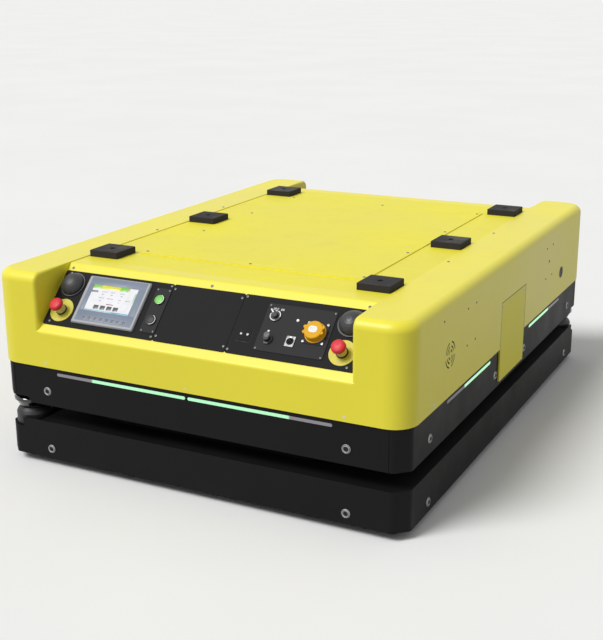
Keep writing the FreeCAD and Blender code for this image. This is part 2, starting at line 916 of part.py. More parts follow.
def make_pads():
    pads = []
    for x, y in pad_places():
        half = pad_size / 2
        pad = prism(rectangle(half, half, pad_corner_radius, (x, y)), deck_z, pad_z1)
        top = [e for e in pad.Edges if e.BoundBox.ZMin > pad_z1 - 0.01]
        pad = pad.makeChamfer(1.5, top)
        pads.append(pad.cut(rod(pad_hole_radius, Vec(x, y, deck_z - 5), Vec(0, 0, 1), 40)))
    return Part.makeCompound(pads)


# ---------------------------------------------------------------- slope panels

def panel_blank(x0, x1):
    middle = ((x0 + x1) / 2, (panel_low + panel_high) / 2)
    outline = rectangle((x1 - x0) / 2, (panel_high - panel_low) / 2, panel_corner_radius, middle)
    return prism(outline, 0, panel_sheet)


def make_panels():
    edge = panel_half
    seam = panel_seam_half
    gap = panel_seam_gap / 2
    left = cut_all(panel_blank(-edge, -seam - gap), slope_cutouts())
    centre = panel_blank(-seam + gap, seam - gap)
    right = cut_all(panel_blank(seam + gap, edge), slope_cutouts())
    rear = cut_all(panel_blank(-edge, edge), estop_cutouts())
    return on_slope(left), on_slope(centre), on_slope(right), half_turn(on_slope(rear))


def subplate(x, width):
    half_s = (subplate_high - subplate_low) / 2
    outline = rectangle(width / 2, half_s, subplate_radius, (x, (subplate_low + subplate_high) / 2))
    return on_slope(cut_all(prism(outline, panel_sheet, panel_sheet + subplate_sheet), slope_cutouts()))


def make_hmi():
    """Operator terminal: bevelled frame with a body behind the panel, and its display window."""
    top = panel_sheet + hmi_bezel
    outline = rectangle(hmi_width / 2, hmi_height / 2, hmi_bezel_radius, (hmi_x, hmi_s))
    frame = prism(outline, panel_sheet, top)
    edges = [e for e in frame.Edges if e.BoundBox.ZMin > top - 0.01]
    frame = frame.makeChamfer(3.0, edges)
    body = prism(rectangle(hmi_body_width / 2, hmi_body_height / 2, 0, (hmi_x, hmi_s)),
                 -hmi_body_depth, panel_sheet)
    centre = (hmi_x + screen_shift_x, hmi_s + screen_shift_s)
    window = prism(rectangle(screen_width / 2, screen_height / 2, 1.0, centre), top - screen_recess, top + 5)
    housing = frame.fuse(body).removeSplitter().cut(window)
    screen = prism(rectangle(screen_width / 2 - 0.2, screen_height / 2 - 0.2, 0.8, centre),
                   top - screen_recess, top - screen_recess + screen_thickness)
    return on_slope(housing), on_slope(screen)


# ---------------------------------------------------------------- controls

def estop_parts(x):
    """Disc, fixed base and sliding head of one emergency stop, drawn flat."""
    base_top = panel_sheet + disc_thickness
    collar_top = base_top + estop_collar_height
    bore = estop_bore_radius
    stem = bore - estop_stem_gap
    bore_floor = base_top + estop_bore_floor
    disc = revolve_profile([(estop_barrel_radius + fit_gap, panel_sheet), (disc_radius, panel_sheet),
                            (disc_radius, base_top - 0.4), (disc_radius - 0.6, base_top),
                            (estop_barrel_radius + fit_gap, base_top)])
    base = revolve_profile([(0, control_back), (estop_barrel_radius, control_back),
                            (estop_barrel_radius, base_top), (estop_ring_radius, base_top),
                            (estop_ring_radius, base_top + estop_ring_height),
                            (estop_collar_radius, base_top + estop_ring_height),
                            (estop_collar_radius - 1.5, collar_top), (bore, collar_top), (bore, bore_floor),
                            (0, bore_floor)])
    half = estop_block / 2
    tall = half + estop_block_overhang
    contact = block(-half, half, -tall, tall, control_back - estop_block_depth, control_back)
    base = base.fuse(contact).removeSplitter()
    stem_low = bore_floor + estop_travel + estop_head_clear
    low = collar_top + estop_travel + estop_head_clear
    r = estop_head_radius
    high = low + estop_head_height
    head = revolve_profile([(0, stem_low), (stem, stem_low), (stem, low), (r - 3, low), (r, low + 3),
                            (r, low + 8), (r - 1.2, high - 5), (r - 4.5, high - 2.2), (r - 10, high - 0.6),
                            (0, high)])
    return [shift(part, x, estop_s) for part in (disc, base, head)]


def shift(shape, x, s):
    moved = shape.copy()
    moved.translate(Vec(x, s, 0))
    return moved


def button_parts(s):
    """Fixed bezel with its contact block, and the cap that travels in it."""
    seat = panel_sheet + subplate_sheet
    top = seat + bezel_height
    bore = cap_radius + cap_gap
    neck = cap_radius - cap_neck_step
    well = neck - cap_skirt
    stem = well - fit_gap
    cap_top = top + cap_proud
    cap_low = cap_top - cap_height
    floor = cap_low - button_travel - 2 * button_clear
    shoulder = cap_top - cap_side
    ledge = seat + 0.01
    body = revolve_profile([(0, control_back), (neck, control_back), (neck, seat), (bezel_radius, seat),
                            (bezel_radius, top - 1.5), (bezel_radius - 1.5, top), (bore, top), (bore, ledge),
                            (well, ledge), (well, floor), (0, floor)])
    half = button_block / 2
    body = body.fuse(block(-half, half, -half, half, control_back - button_block_depth, control_back))
    cap = revolve_profile([(0, cap_low - button_clear), (stem, cap_low - button_clear),
                           (stem, shoulder - cap_flare), (cap_radius, shoulder), (cap_radius, cap_top - 0.8),
                           (cap_radius - 1.0, cap_top), (0, cap_top)])
    return shift(body.removeSplitter(), button_x, s), shift(cap, button_x, s)


def make_domes():
    domes = []
    low = panel_sheet
    rim = low + dome_rim_height
    rise = dome_height - dome_rim_height
    steps = 7
    points = [(0, -dome_stem_depth), (dome_stem_radius, -dome_stem_depth), (dome_stem_radius, low),
              (dome_radius, low), (dome_radius, rim)]
    crown = dome_radius - dome_rim_step
    for k in range(steps + 1):
        angle = k * math.pi / 2 / steps
        points.append((crown * math.cos(angle), rim + rise * math.sin(angle)))
    dome = revolve_profile(points[:-1] + [(0, rim + rise)])
    for side in (-1, 1):
        domes.append(on_slope(shift(dome, side * dome_x, dome_s)))
    return Part.makeCompound(domes)


def make_switch():
    """Main switch: round base, and a knob whose lever points to its setting."""
    seat = panel_sheet + subplate_sheet
    top = seat + switch_base_height
    back = control_back - switch_body_depth
    r = switch_base_radius
    bore = switch_shaft_radius + running_gap
    body_r = r - switch_body_step
    base = revolve_profile([(0, back), (body_r, back), (body_r, seat), (r, seat), (r, top - 0.8),
                            (r - 0.8, top), (bore, top), (bore, seat - 10), (0, seat - 10)])
    low = top + fit_gap
    knob_top = low + switch_knob_height
    knob = revolve_profile([(0, seat - 9), (switch_shaft_radius, seat - 9), (switch_shaft_radius, low),
                            (switch_knob_radius, low), (switch_knob_radius, knob_top - 1.5),
                            (switch_knob_radius - 1.5, knob_top), (0, knob_top)])
    half = switch_lever_width / 2
    lever = block(-half, half, 0, switch_lever_reach, low, low + switch_lever_height)
    knob = knob.fuse(lever).removeSplitter()
    knob.rotate(Vec(0, 0, 0), Vec(0, 0, 1), switch_lever_turn)
    return on_slope(shift(base, switch_x, switch_s)), on_slope(shift(knob, switch_x, switch_s))


def make_socket():
    """Round supply socket on a square flange, and the lugged cap that turns on its neck."""
    seat = panel_sheet + subplate_sheet
    flange_top = seat + socket_flange_sheet
    half = socket_flange / 2
    flange = prism(rectangle(half, half, 6.0), seat, flange_top)
    neck_top = flange_top + socket_neck_height
    barrel = revolve_profile([(0, -socket_body_depth), (socket_body_radius, -socket_body_depth),
                              (socket_body_radius, seat), (socket_neck_radius, seat),
                              (socket_neck_radius, neck_top), (socket_neck_radius - 3, neck_top),
                              (socket_neck_radius - 3, seat + 1), (0, seat + 1)])
    socket = flange.cut(rod(socket_neck_radius, Vec(0, 0, seat - 1), Vec(0, 0, 1), 20)).fuse(barrel)
    low = flange_top + fit_gap
    high = low + socket_cap_height
    bore = socket_neck_radius + socket_cap_gap
    ceiling = high - socket_cap_top
    ring_top = low + socket_cap_ring
    wall = socket_cap_radius - socket_cap_ring
    crown = wall - socket_cap_taper
    cap = revolve_profile([(bore, low), (socket_cap_radius, low), (socket_cap_radius, ring_top),
                           (wall, ring_top), (crown, high - 2), (crown - 2, high), (0, high),
                           (0, ceiling), (bore, ceiling)])
    lugs = []
    for degrees in socket_lug_angles:
        angle = math.radians(degrees)
        centre = Vec(crown * math.cos(angle), crown * math.sin(angle), ceiling - 1.5)
        lugs.append(rod(socket_lug_radius, centre, Vec(0, 0, 1), socket_cap_top + 0.5))
    cap = shift(fuse_all([cap] + lugs), socket_x, socket_s)
    socket = shift(socket.removeSplitter(), socket_x, socket_s)
    return on_slope(socket), on_slope(cap)


def make_panel_sockets():
    """Flanged data socket with a round mouth, and a round auxiliary socket with its plug-in cap."""
    seat = panel_sheet + subplate_sheet
    outline = rectangle(data_width / 2, data_height / 2, 2.0)
    data = prism(outline, seat, seat + 2.5)
    half_w = data_width / 2 - data_body_step
    half_h = data_height / 2 - data_body_step
    body = block(-half_w, half_w, -half_h, half_h, -data_depth, seat)
    data = data.fuse(body).removeSplitter()
    data = data.cut(rod(data_bore_radius, Vec(0, 0, -data_depth + 6), Vec(0, 0, 1), data_depth + 20))
    neck = aux_neck_radius
    top = seat + aux_height
    aux = revolve_profile([(0, -20), (neck, -20), (neck, seat), (aux_radius, seat), (aux_radius, seat + 4),
                           (neck, seat + 5), (neck, top - 1.5), (neck - 1.5, top), (0, top)])
    return Part.makeCompound([on_slope(shift(data, data_x, data_s)), on_slope(shift(aux, aux_x, aux_s))])


# ---------------------------------------------------------------- sides

def make_hatch(side):
    middle = (hatch_high + hatch_low) / 2
    outline = rectangle(hatch_half_width, (hatch_high - hatch_low) / 2, 3.0, (0, middle))
    x = side * (half_width - cover_wall)
    return extrude_profile(outline, lambda u, v: Vec(x, u, v), Vec(side * cover_wall, 0, 0))


def make_speakers():
    """Loudspeaker cans behind the two grilles: flange, cone basket and magnet."""
    r = grille_outer_ring + grille_slot
    rim = r + speaker_flange
    lip = rim - 2.0
    magnet = speaker_magnet_radius
    cans = []
    for side in (-1, 1):
        can = revolve_profile([(0, speaker_seat), (lip, speaker_seat), (lip, 0), (rim, 0),
                               (rim, speaker_flange_sheet), (r - 4, speaker_seat + speaker_flange_sheet),
                               (magnet + 2, speaker_depth - speaker_magnet_height), (magnet, speaker_depth),
                               (0, speaker_depth)])
        can.rotate(Vec(0, 0, 0), Vec(0, 1, 0), -90 * side)
        can.translate(Vec(side * (half_width - cover_wall), grille_y, grille_z))
        cans.append(can)
    return Part.makeCompound(cans)


def make_ports():
    """Blanking grommets in the side walls."""
    plugs = []
    for side in (-1, 1):
        low = -cover_wall - port_barrel_reach
        rim = port_radius + port_flange_step
        plug = revolve_profile([(0, low), (port_radius - fit_gap, low), (port_radius - fit_gap, 0), (rim, 0),
                                (rim - 1, port_flange), (port_radius - port_rim, port_flange),
                                (port_radius - port_rim - 1, port_flange - 1), (0, port_flange - 1)])
        plug.rotate(Vec(0, 0, 0), Vec(0, 1, 0), 90 * side)
        plug.translate(Vec(side * half_width, port_y, port_z))
        plugs.append(plug)
    return Part.makeCompound(plugs)


def led_shapes(grow, depth):
    """Light strips: two on each end and two on each side, set in the band."""
    hx = sheet_x
    hy = sheet_y
    half = led_height / 2 + grow
    strips = []
    spans = ((led_front_inner, led_front_outer), (-led_front_outer, -led_front_inner))
    for a, b in spans:
        outline = rectangle((b - a) / 2 + grow, half, half - 0.01, ((a + b) / 2, led_z))
        for side in (-1, 1):
            start = side * (hy + led_proud) if grow == 0 else side * (hy + 5)
            strips.append(extrude_profile(outline, lambda u, v: Vec(u, start, v), Vec(0, -side * depth, 0)))
    spans = ((led_side_inner, led_side_outer), (-led_side_outer, -led_side_inner))
    for a, b in spans:
        outline = rectangle((b - a) / 2 + grow, half, half - 0.01, ((a + b) / 2, led_z))
        for side in (-1, 1):
            start = side * (hx + led_proud) if grow == 0 else side * (hx + 5)
            strips.append(extrude_profile(outline, lambda u, v: Vec(start, u, v), Vec(-side * depth, 0, 0)))
    return strips


def make_bolts():
    """Socket-head trim bolts and their cup washers."""
    places = bolt_places(band_bolt_z, True) + bolt_places(skirt_bolt_z, False)
    length = sheet + lug_thickness
    bolt = revolve_profile([(0, -length), (bolt_shank_radius, -length), (bolt_shank_radius, 0.8),
                            (bolt_head_radius, 0.8), (bolt_head_radius, 0.8 + bolt_head_height),
                            (0, 0.8 + bolt_head_height)])
    hexagon = []
    for k in range(6):
        angle = math.radians(60 * k)
        hexagon.append((bolt_socket_radius * math.cos(angle), bolt_socket_radius * math.sin(angle), 0))
    top = 0.8 + bolt_head_height
    bolt = bolt.cut(prism(hexagon, top - bolt_socket_depth, top + 1))
    inner = cup_radius - cup_rim
    washer = revolve_profile([(bolt_shank_radius + bolt_hole_gap, 0), (cup_radius, 0),
                              (cup_radius - 0.4, cup_height), (inner, cup_height),
                              (inner - 0.8, 0.7), (bolt_shank_radius + bolt_hole_gap, 0.7)])
    bolts = []
    washers = []
    for point, out in places:
        turn = FreeCAD.Rotation(Vec(0, 0, 1), out)
        spot = FreeCAD.Placement(point, turn)
        for source, target in ((bolt, bolts), (washer, washers)):
            copy = source.copy()
            copy.Placement = spot
            target.append(copy)
    return Part.makeCompound(bolts + washers)


# ---------------------------------------------------------------- scanners

def make_scanners():
    """Safety laser scanner: housing that narrows to a waist, and the flared window with its cap."""
    z0 = scanner_z0
    waist = z0 + scanner_waist_rise
    top = z0 + scanner_height
    cap_z = top - scanner_cap_height
    body_r = scanner_body_radius
    body = revolve_profile([(0, z0), (body_r - 6, z0), (body_r, z0 + 4), (body_r, waist - 16),
                            (body_r - 4, waist - 8), (scanner_waist_radius, waist), (0, waist)])
    waist_r = scanner_waist_radius
    cap_r = scanner_cap_radius
    window = revolve_profile([(0, waist), (waist_r - 1, waist), (waist_r + 1, waist + 3), (cap_r - 3, cap_z),
                              (cap_r, cap_z), (cap_r, top - 4), (cap_r - 4, top), (0, top)])
    bodies = []
    windows = []
    for source, target in ((body, bodies), (window, windows)):
        placed = source.copy()
        placed.translate(Vec(-scanner_x, -scanner_y, 0))
        for copy in scanner_corners(placed):
            target.append(copy)
    return Part.makeCompound(bodies), Part.makeCompound(windows)


# ---------------------------------------------------------------- battery and controls

def make_battery():
    """Battery case with a ribbed lid line and two lifting handles."""
    hw = battery_width / 2
    hl = battery_length / 2
    low = plate_z1
    top = low + battery_height
    case = prism(rectangle(hw, hl, 15.0, (0, battery_y)), low, top)
    groove = prism(rectangle(hw + 5, hl + 5, 15.0, (0, battery_y)), top - 46, top - 40)
    groove = groove.cut(prism(rectangle(hw - 3, hl - 3, 12.0, (0, battery_y)), top - 50, top - 30))
    case = case.cut(groove)
    handles = []
    for side in (-1, 1):
        x = side * (hw - 60)
        bar = block(x - 8, x + 8, battery_y - 60, battery_y + 60, top, top + 35)
        bar = bar.cut(block(x - 20, x + 20, battery_y - 45, battery_y + 45, top - 1, top + 22))
        handles.append(bar)
    return fuse_all([case] + handles)


def make_cabinet():
    """Control cabinet with a raised door and cooling fins on top."""
    hw = cabinet_width / 2
    hl = cabinet_length / 2
    low = plate_z1
    top = low + cabinet_height
    case = prism(rectangle(hw, hl, 6.0, (0, cabinet_y)), low, top)
    door = prism(rectangle(hw - 15, hl - 15, 6.0, (0, cabinet_y)), top, top + 4)
    fins = []
    for k in range(8):
        x = -hw / 2 + k * hw / 7
        fins.append(block(x - 2, x + 2, cabinet_y - hl / 2, cabinet_y + hl / 2, top + 3, top + 26))
    return fuse_all([case, door] + fins)


# ---------------------------------------------------------------- drives

def arm_span(side):
    """Inner and outer X of the swing arm, just inboard of its wheel."""
    outer = drive_x - drive_wheel_width / 2 - arm_gap
    return outer - arm_thickness, outer


def pivot_ears(side):
    """Two ears under the base plate that hold the swing arm's pivot pin."""
    inner, outer = arm_span(side)
    ears = []
    for x0 in (inner - fit_gap - ear_thickness, outer + fit_gap):
        profile = [(arm_pivot_y - 40, plate_z0 + 1, 0), (arm_pivot_y + 40, plate_z0 + 1, 0),
                   (arm_pivot_y + 22, arm_pivot_z - 22, 16), (arm_pivot_y - 22, arm_pivot_z - 22, 16)]
        ear = extrude_profile(profile, lambda u, v: Vec(x0, u, v), Vec(ear_thickness, 0, 0))
        ears.append(ear.cut(rod(arm_pivot_radius, Vec(x0 - 1, arm_pivot_y, arm_pivot_z), Vec(1, 0, 0), 50)))
    return [ear if side > 0 else mirror_x(ear) for ear in ears]


def make_pivot_pins():
    """Plain pins across the ears, one for each swing arm."""
    inner, outer = arm_span(1)
    start = inner - fit_gap - ear_thickness
    length = outer - inner + 2 * fit_gap + 2 * ear_thickness
    pin = rod(arm_pivot_radius, Vec(start, arm_pivot_y, arm_pivot_z), Vec(1, 0, 0), length)
    return [pin, mirror_x(pin)]


def make_arm(side):
    """Swing arm plate with its pivot bore, spring seat, gearbox and motor."""
    inner, outer = arm_span(1)
    wheel_z = drive_wheel_radius
    boss = arm_boss_radius
    seat_z = spring_seat_z - 4
    profile = [(arm_pivot_y + 10, arm_pivot_z + boss, 12), (arm_pivot_y + boss, arm_pivot_z, 12),
               (arm_pivot_y, arm_pivot_z - boss, 12), (40, wheel_z - 50, 20), (-50, wheel_z - 45, 30),
               (-60, wheel_z + 40, 20), (spring_y - 40, seat_z, 8), (spring_y + 40, seat_z, 8)]
    plate = extrude_profile(profile, lambda u, v: Vec(inner, u, v), Vec(arm_thickness, 0, 0))
    seat = rod(spring_radius + 3, Vec(inner, spring_y, spring_seat_z - 8), Vec(0, 0, 1), 8)
    gearbox = rod(gearbox_radius, Vec(inner - gearbox_length, 0, wheel_z), Vec(1, 0, 0), gearbox_length)
    motor_start = inner - gearbox_length - motor_length
    motor = rod(motor_radius, Vec(motor_start, 0, wheel_z), Vec(1, 0, 0), motor_length)
    end_cap = rod(motor_radius * 0.75, Vec(motor_start - 25, 0, wheel_z), Vec(1, 0, 0), 25)
    arm = fuse_all([plate, seat, gearbox, motor, end_cap])
    pivot = Vec(inner - 1, arm_pivot_y, arm_pivot_z)
    arm = arm.cut(rod(arm_pivot_radius + pivot_gap, pivot, Vec(1, 0, 0), 60))
    bore_start = Vec(inner - shaft_bore_depth, 0, wheel_z)
    bore_length = shaft_bore_depth + 2 * arm_thickness
    shaft_bore = rod(drive_shaft_radius + running_gap, bore_start, Vec(1, 0, 0), bore_length)
    arm = arm.cut(shaft_bore)
    return arm if side > 0 else mirror_x(arm)


def make_drive_wheel(side):
    """Hub with a bonded tread, turning on the gearbox's output shaft."""
    half = drive_wheel_width / 2
    r = drive_wheel_radius
    rim = r - drive_tread
    tread = revolve_profile([(rim, -half), (r - 3, -half), (r, -half + 3), (r, half - 3), (r - 3, half),
                             (rim, half)])
    hub = revolve_profile([(0, -half + 4), (30, -half + 4), (34, -half + 12), (rim - 10, -half + 12),
                           (rim - 6, -half), (rim, -half), (rim, half), (rim - 6, half),
                           (rim - 10, half - 12), (34, half - 12), (30, half), (0, half)])
    inner, outer = arm_span(1)
    shaft_length = drive_x - half + 4 - (inner - 28)
    shaft = rod(drive_shaft_radius, Vec(0, 0, -half + 4 - shaft_length), Vec(0, 0, 1), shaft_length)
    hub = hub.fuse(shaft).removeSplitter()
    parts = []
    for part in (tread, hub):
        part.rotate(Vec(0, 0, 0), Vec(0, 1, 0), 90)
        part.translate(Vec(drive_x, 0, drive_wheel_radius))
        parts.append(part if side > 0 else mirror_x(part))
    return Part.makeCompound(parts)


def make_spring(side):
    """Hollow rubber spring between the swing arm and the base plate."""
    inner, outer = arm_span(1)
    x = side * inner
    r = spring_radius
    low = spring_seat_z
    height = plate_z0 - low
    bore = spring_bore_radius
    return revolve_profile([(bore, 0), (r - 4, 0), (r, height * 0.25), (r - 3, height * 0.5),
                            (r, height * 0.75), (r - 4, height), (bore, height)], Vec(x, spring_y, low))


# ---------------------------------------------------------------- castors

def castor_places():
    return [("front_left", -castor_x, -castor_y), ("front_right", castor_x, -castor_y),
            ("rear_left", -castor_x, castor_y), ("rear_right", castor_x, castor_y)]


def castor_levels():
    boss_z = plate_z0 - castor_plate_thickness - castor_boss_height
    crown_top = boss_z - race_gap
    return boss_z, crown_top, crown_top - castor_crown_height


def make_castor_plates():
    """Top plate, raceway boss and kingpin of each castor, bolted under the base plate."""
    boss_z, crown_top, crown_low = castor_levels()
    plates = []
    for name, x, y in castor_places():
        half = castor_plate_size / 2
        plate = prism(rectangle(half, half * 0.8, 6.0, (x, y)), plate_z0 - castor_plate_thickness, plate_z0)
        boss = rod(castor_boss_radius, Vec(x, y, boss_z), Vec(0, 0, 1), castor_boss_height)
        pin = rod(castor_pin_radius, Vec(x, y, crown_low - 1), Vec(0, 0, 1), boss_z - crown_low + 1)
        nut = rod(castor_pin_radius + 5, Vec(x, y, crown_low - race_gap - 6), Vec(0, 0, 1), 6)
        plates.append(fuse_all([plate, boss, pin, nut]))
    return plates


def make_castor_fork(x, y):
    """Pressed fork: crown with the kingpin bore, two legs and the axle with its nuts."""
    boss_z, crown_top, crown_low = castor_levels()
    inner = castor_wheel_width / 2 + castor_leg_gap
    outer = inner + castor_leg
    crown = rod(castor_crown_radius, Vec(0, 0, crown_low), Vec(0, 0, 1), castor_crown_height)
    axle_z = castor_wheel_radius
    profile = [(-24, crown_low + castor_crown_height, 0), (24, crown_low + castor_crown_height, 0),
               (castor_trail + 14, axle_z + 10, 8), (castor_trail + 10, axle_z - 14, 10),
               (castor_trail - 14, axle_z - 12, 10), (-24, crown_low - 12, 10)]
    pieces = [crown]
    for x0 in (-outer, inner):
        pieces.append(extrude_profile(profile, lambda u, v: Vec(x0, u, v), Vec(castor_leg, 0, 0)))
    fork = fuse_all(pieces)
    fork = fork.cut(rod(castor_pin_radius + running_gap, Vec(0, 0, crown_low - 5), Vec(0, 0, 1), 40))
    axle = rod(castor_axle_radius, Vec(-outer - 1, castor_trail, axle_z), Vec(1, 0, 0), 2 * outer + 2)
    nuts = []
    for x0 in (-outer - castor_nut_height, outer):
        nuts.append(rod(castor_nut_radius, Vec(x0, castor_trail, axle_z), Vec(1, 0, 0), castor_nut_height))
    fork = fuse_all([fork, axle] + nuts)
    fork.translate(Vec(x, y, 0))
    return fork


def make_castor_wheel(x, y):
    half = castor_wheel_width / 2
    r = castor_wheel_radius
    bore = castor_axle_radius + running_gap
    hub = half + 1.5
    wheel = revolve_profile([(bore, -hub), (14, -hub), (16, -half + 8), (r - 18, -half + 8), (r - 14, -half),
                             (r - 5, -half), (r - 1, -half + 4), (r, 0), (r - 1, half - 4), (r - 5, half),
                             (r - 14, half), (r - 18, half - 8), (16, half - 8), (14, hub), (bore, hub)])
    wheel.rotate(Vec(0, 0, 0), Vec(0, 1, 0), 90)
    wheel.translate(Vec(x, y + castor_trail, r))
    return wheel


# ---------------------------------------------------------------- build all nodes

save(make_body_cover(), "body_cover")
for node, shape in zip(("band_front", "band_rear", "band_left", "band_right"), make_bands()):
    save(shape, node)
save(make_skirt(), "lower_skirt")
save(make_slot_wall(), "slot_wall")
save(make_base_plate(), "base_plate")
save(Part.makeCompound([make_girder(-1), make_girder(1)]), "girders")
save(make_bulkheads(), "bulkheads")
save(make_deck(), "deck_plate")
save(make_lid(), "lid_plate")
save(make_pads(), "load_pads")

for node, shape in zip(("panel_left", "panel_centre", "panel_right", "panel_rear"), make_panels()):
    save(shape, node)
save(subplate(button_x, button_plate_width), "button_plate")
save(subplate(connector_x, connector_width), "connector_plate")
hmi_housing, hmi_screen = make_hmi()
save(hmi_housing, "hmi_housing")
save(hmi_screen, "hmi_screen")

bases = []
for position, x, rear in (("front_left", -estop_x, False), ("front_right", estop_x, False),
                          ("rear_left", estop_x, True), ("rear_right", -estop_x, True)):
    disc, base, head = [half_turn(on_slope(p)) if rear else on_slope(p) for p in estop_parts(x)]
    bases += [disc, base]
    save(head, "estop_head_" + position)
save(Part.makeCompound(bases), "estop_bases")

start_body, start_cap = button_parts(button_start_s)
reset_body, reset_cap = button_parts(button_reset_s)
save(Part.makeCompound([on_slope(start_body), on_slope(reset_body)]), "button_bodies")
save(on_slope(start_cap), "start_button")
save(on_slope(reset_cap), "reset_button")
save(make_domes(), "antenna_domes")
switch_base, switch_knob = make_switch()
save(switch_base, "switch_base")
save(switch_knob, "switch_knob")
power_socket, socket_cap = make_socket()
save(power_socket, "power_socket")
save(socket_cap, "socket_cap")
save(make_panel_sockets(), "panel_sockets")

save(make_hatch(-1), "side_hatch_left")
save(make_hatch(1), "side_hatch_right")
save(make_speakers(), "speakers")
save(make_ports(), "port_grommets")
save(Part.makeCompound(led_shapes(0.0, led_depth)), "light_strips")
save(make_bolts(), "trim_bolts")
scanner_bodies, scanner_windows = make_scanners()
save(scanner_bodies, "scanner_bodies")
save(scanner_windows, "scanner_windows")
save(make_battery(), "battery_pack")
save(make_cabinet(), "control_cabinet")

for word, side in (("left", -1), ("right", 1)):
    save(make_arm(side), "drive_arm_" + word)
    save(make_drive_wheel(side), "drive_wheel_" + word)
    save(make_spring(side), "drive_spring_" + word)

save(Part.makeCompound(make_castor_plates() + make_pivot_pins()), "running_gear_mounts")
for word, x, y in castor_places():
    save(make_castor_fork(x, y), "castor_fork_" + word)
    save(make_castor_wheel(x, y), "castor_wheel_" + word)
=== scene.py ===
import json
import math
import bmesh
import bpy
from mathutils import Matrix, Vector


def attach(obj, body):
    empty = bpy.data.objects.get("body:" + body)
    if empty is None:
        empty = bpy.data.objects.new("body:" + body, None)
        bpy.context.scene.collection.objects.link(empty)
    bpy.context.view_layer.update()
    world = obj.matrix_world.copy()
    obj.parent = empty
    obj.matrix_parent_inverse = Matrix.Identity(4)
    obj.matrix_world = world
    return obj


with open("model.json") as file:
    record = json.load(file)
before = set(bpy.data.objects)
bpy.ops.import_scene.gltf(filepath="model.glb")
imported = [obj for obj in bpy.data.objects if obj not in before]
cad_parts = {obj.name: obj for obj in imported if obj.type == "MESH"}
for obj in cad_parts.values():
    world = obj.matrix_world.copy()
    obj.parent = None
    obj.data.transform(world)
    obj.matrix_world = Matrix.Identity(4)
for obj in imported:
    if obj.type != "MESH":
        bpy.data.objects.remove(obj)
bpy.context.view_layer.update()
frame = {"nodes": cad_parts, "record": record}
nodes = frame["nodes"]
mm = 0.001
seat = 0.1  # millimetres that a piece starts inside what it sits on
print("frame:", len(nodes), "nodes")


def colourOf(red, green, blue):
    # eye colour, 0 to 255, to the linear colour that sockets take
    parts = [c / 255 for c in (red, green, blue)]
    return tuple(c / 12.92 if c <= 0.04045 else ((c + 0.055) / 1.055) ** 2.4 for c in parts) + (1.0,)


def spanOf(node, place):
    # extents of a node, in millimetres, seen from a turned frame
    back = place.inverted()
    points = [back @ v.co for v in nodes[node].data.vertices]
    low = Vector(min(p[i] for p in points) for i in range(3)) / mm
    high = Vector(max(p[i] for p in points) for i in range(3)) / mm
    return low, high


def middleOf(node, place):
    low, high = spanOf(node, place)
    return (low + high) / 2


def bodyOf(node):
    # body that carries a node
    return next(name for name, held in frame["record"]["behaviour"]["bodies"].items() if node in held)


slopeTurn = Matrix.Rotation(math.radians(45), 4, "X")
panelLow = spanOf("panel_centre", slopeTurn)[0] * mm
frontSlope = slopeTurn @ Matrix.Translation((0, panelLow.y, panelLow.z))  # X across, Y up the slope, Z proud
rearSlope = Matrix.Rotation(math.pi, 4, "Z") @ frontSlope
upright = Matrix.Identity(4)


def wallFrame(outward):
    # frame on a body wall: X to the right as seen from outside, Y up, Z outward
    up = Vector((0, 0, 1))
    z = Vector(outward)
    return Matrix((up.cross(z), up, z)).transposed().to_4x4()


sideWalls = {side: wallFrame((side, 0, 0)) for side in (-1, 1)}
endWalls = {end: wallFrame((0, end, 0)) for end in (-1, 1)}


# mesh helpers; lengths in millimetres, turned into metres by the piece's frame

def at(place, x, y, z, turn=0.0):
    return place @ Matrix.Translation(Vector((x, y, z)) * mm) @ Matrix.Rotation(turn, 4, "Z")


def ringOf(bm, place, points):
    return [bm.verts.new(place @ (Vector(p) * mm)) for p in points]


def bridge(bm, lower, upper, index, closed=True):
    # quads between two rows of points, closed round or left open
    count = len(lower)
    for i in range(count if closed else count - 1):
        j = (i + 1) % count
        face = bm.faces.new((lower[i], lower[j], upper[j], upper[i]))
        face.material_index = index


def capFace(bm, ring, index, flip=False):
    face = bm.faces.new(list(reversed(ring)) if flip else ring)
    face.material_index = index


def lathe(bm, place, profile, segments=32, index=0, caps=True, arc=None):
    # turns (radius, height) points about the frame's Z, all round or through an arc in degrees
    first, last = arc or (0.0, 360.0)
    angles = [math.radians(first + (last - first) * i / segments) for i in range(segments + 1 if arc else segments)]
    rings = [ringOf(bm, place, [(radius * math.cos(a), radius * math.sin(a), height) for a in angles])
             for radius, height in profile]
    for lower, upper in zip(rings, rings[1:]):
        bridge(bm, lower, upper, index, not arc)
    if arc:
        capFace(bm, [r[0] for r in rings], index, True)
        capFace(bm, [r[-1] for r in rings], index)
        bridge(bm, rings[-1], rings[0], index, False)
    elif caps:
        capFace(bm, rings[-1], index)
        capFace(bm, rings[0], index, True)


def ringLathe(bm, place, profile, segments, index=0):
    # turns a closed profile into a ring
    lathe(bm, place, profile + profile[:1], segments, index, caps=False)


def roundedOutline(halfX, halfY, radius, steps, centre):
    points = []
    for k, (sx, sy) in enumerate(((1, -1), (1, 1), (-1, 1), (-1, -1))):
        for i in range(steps + 1):
            a = math.radians(-90 + 90 * k + 90 * i / steps)
            points.append((centre[0] + sx * (halfX - radius) + radius * math.cos(a),
                           centre[1] + sy * (halfY - radius) + radius * math.sin(a)))
    return points


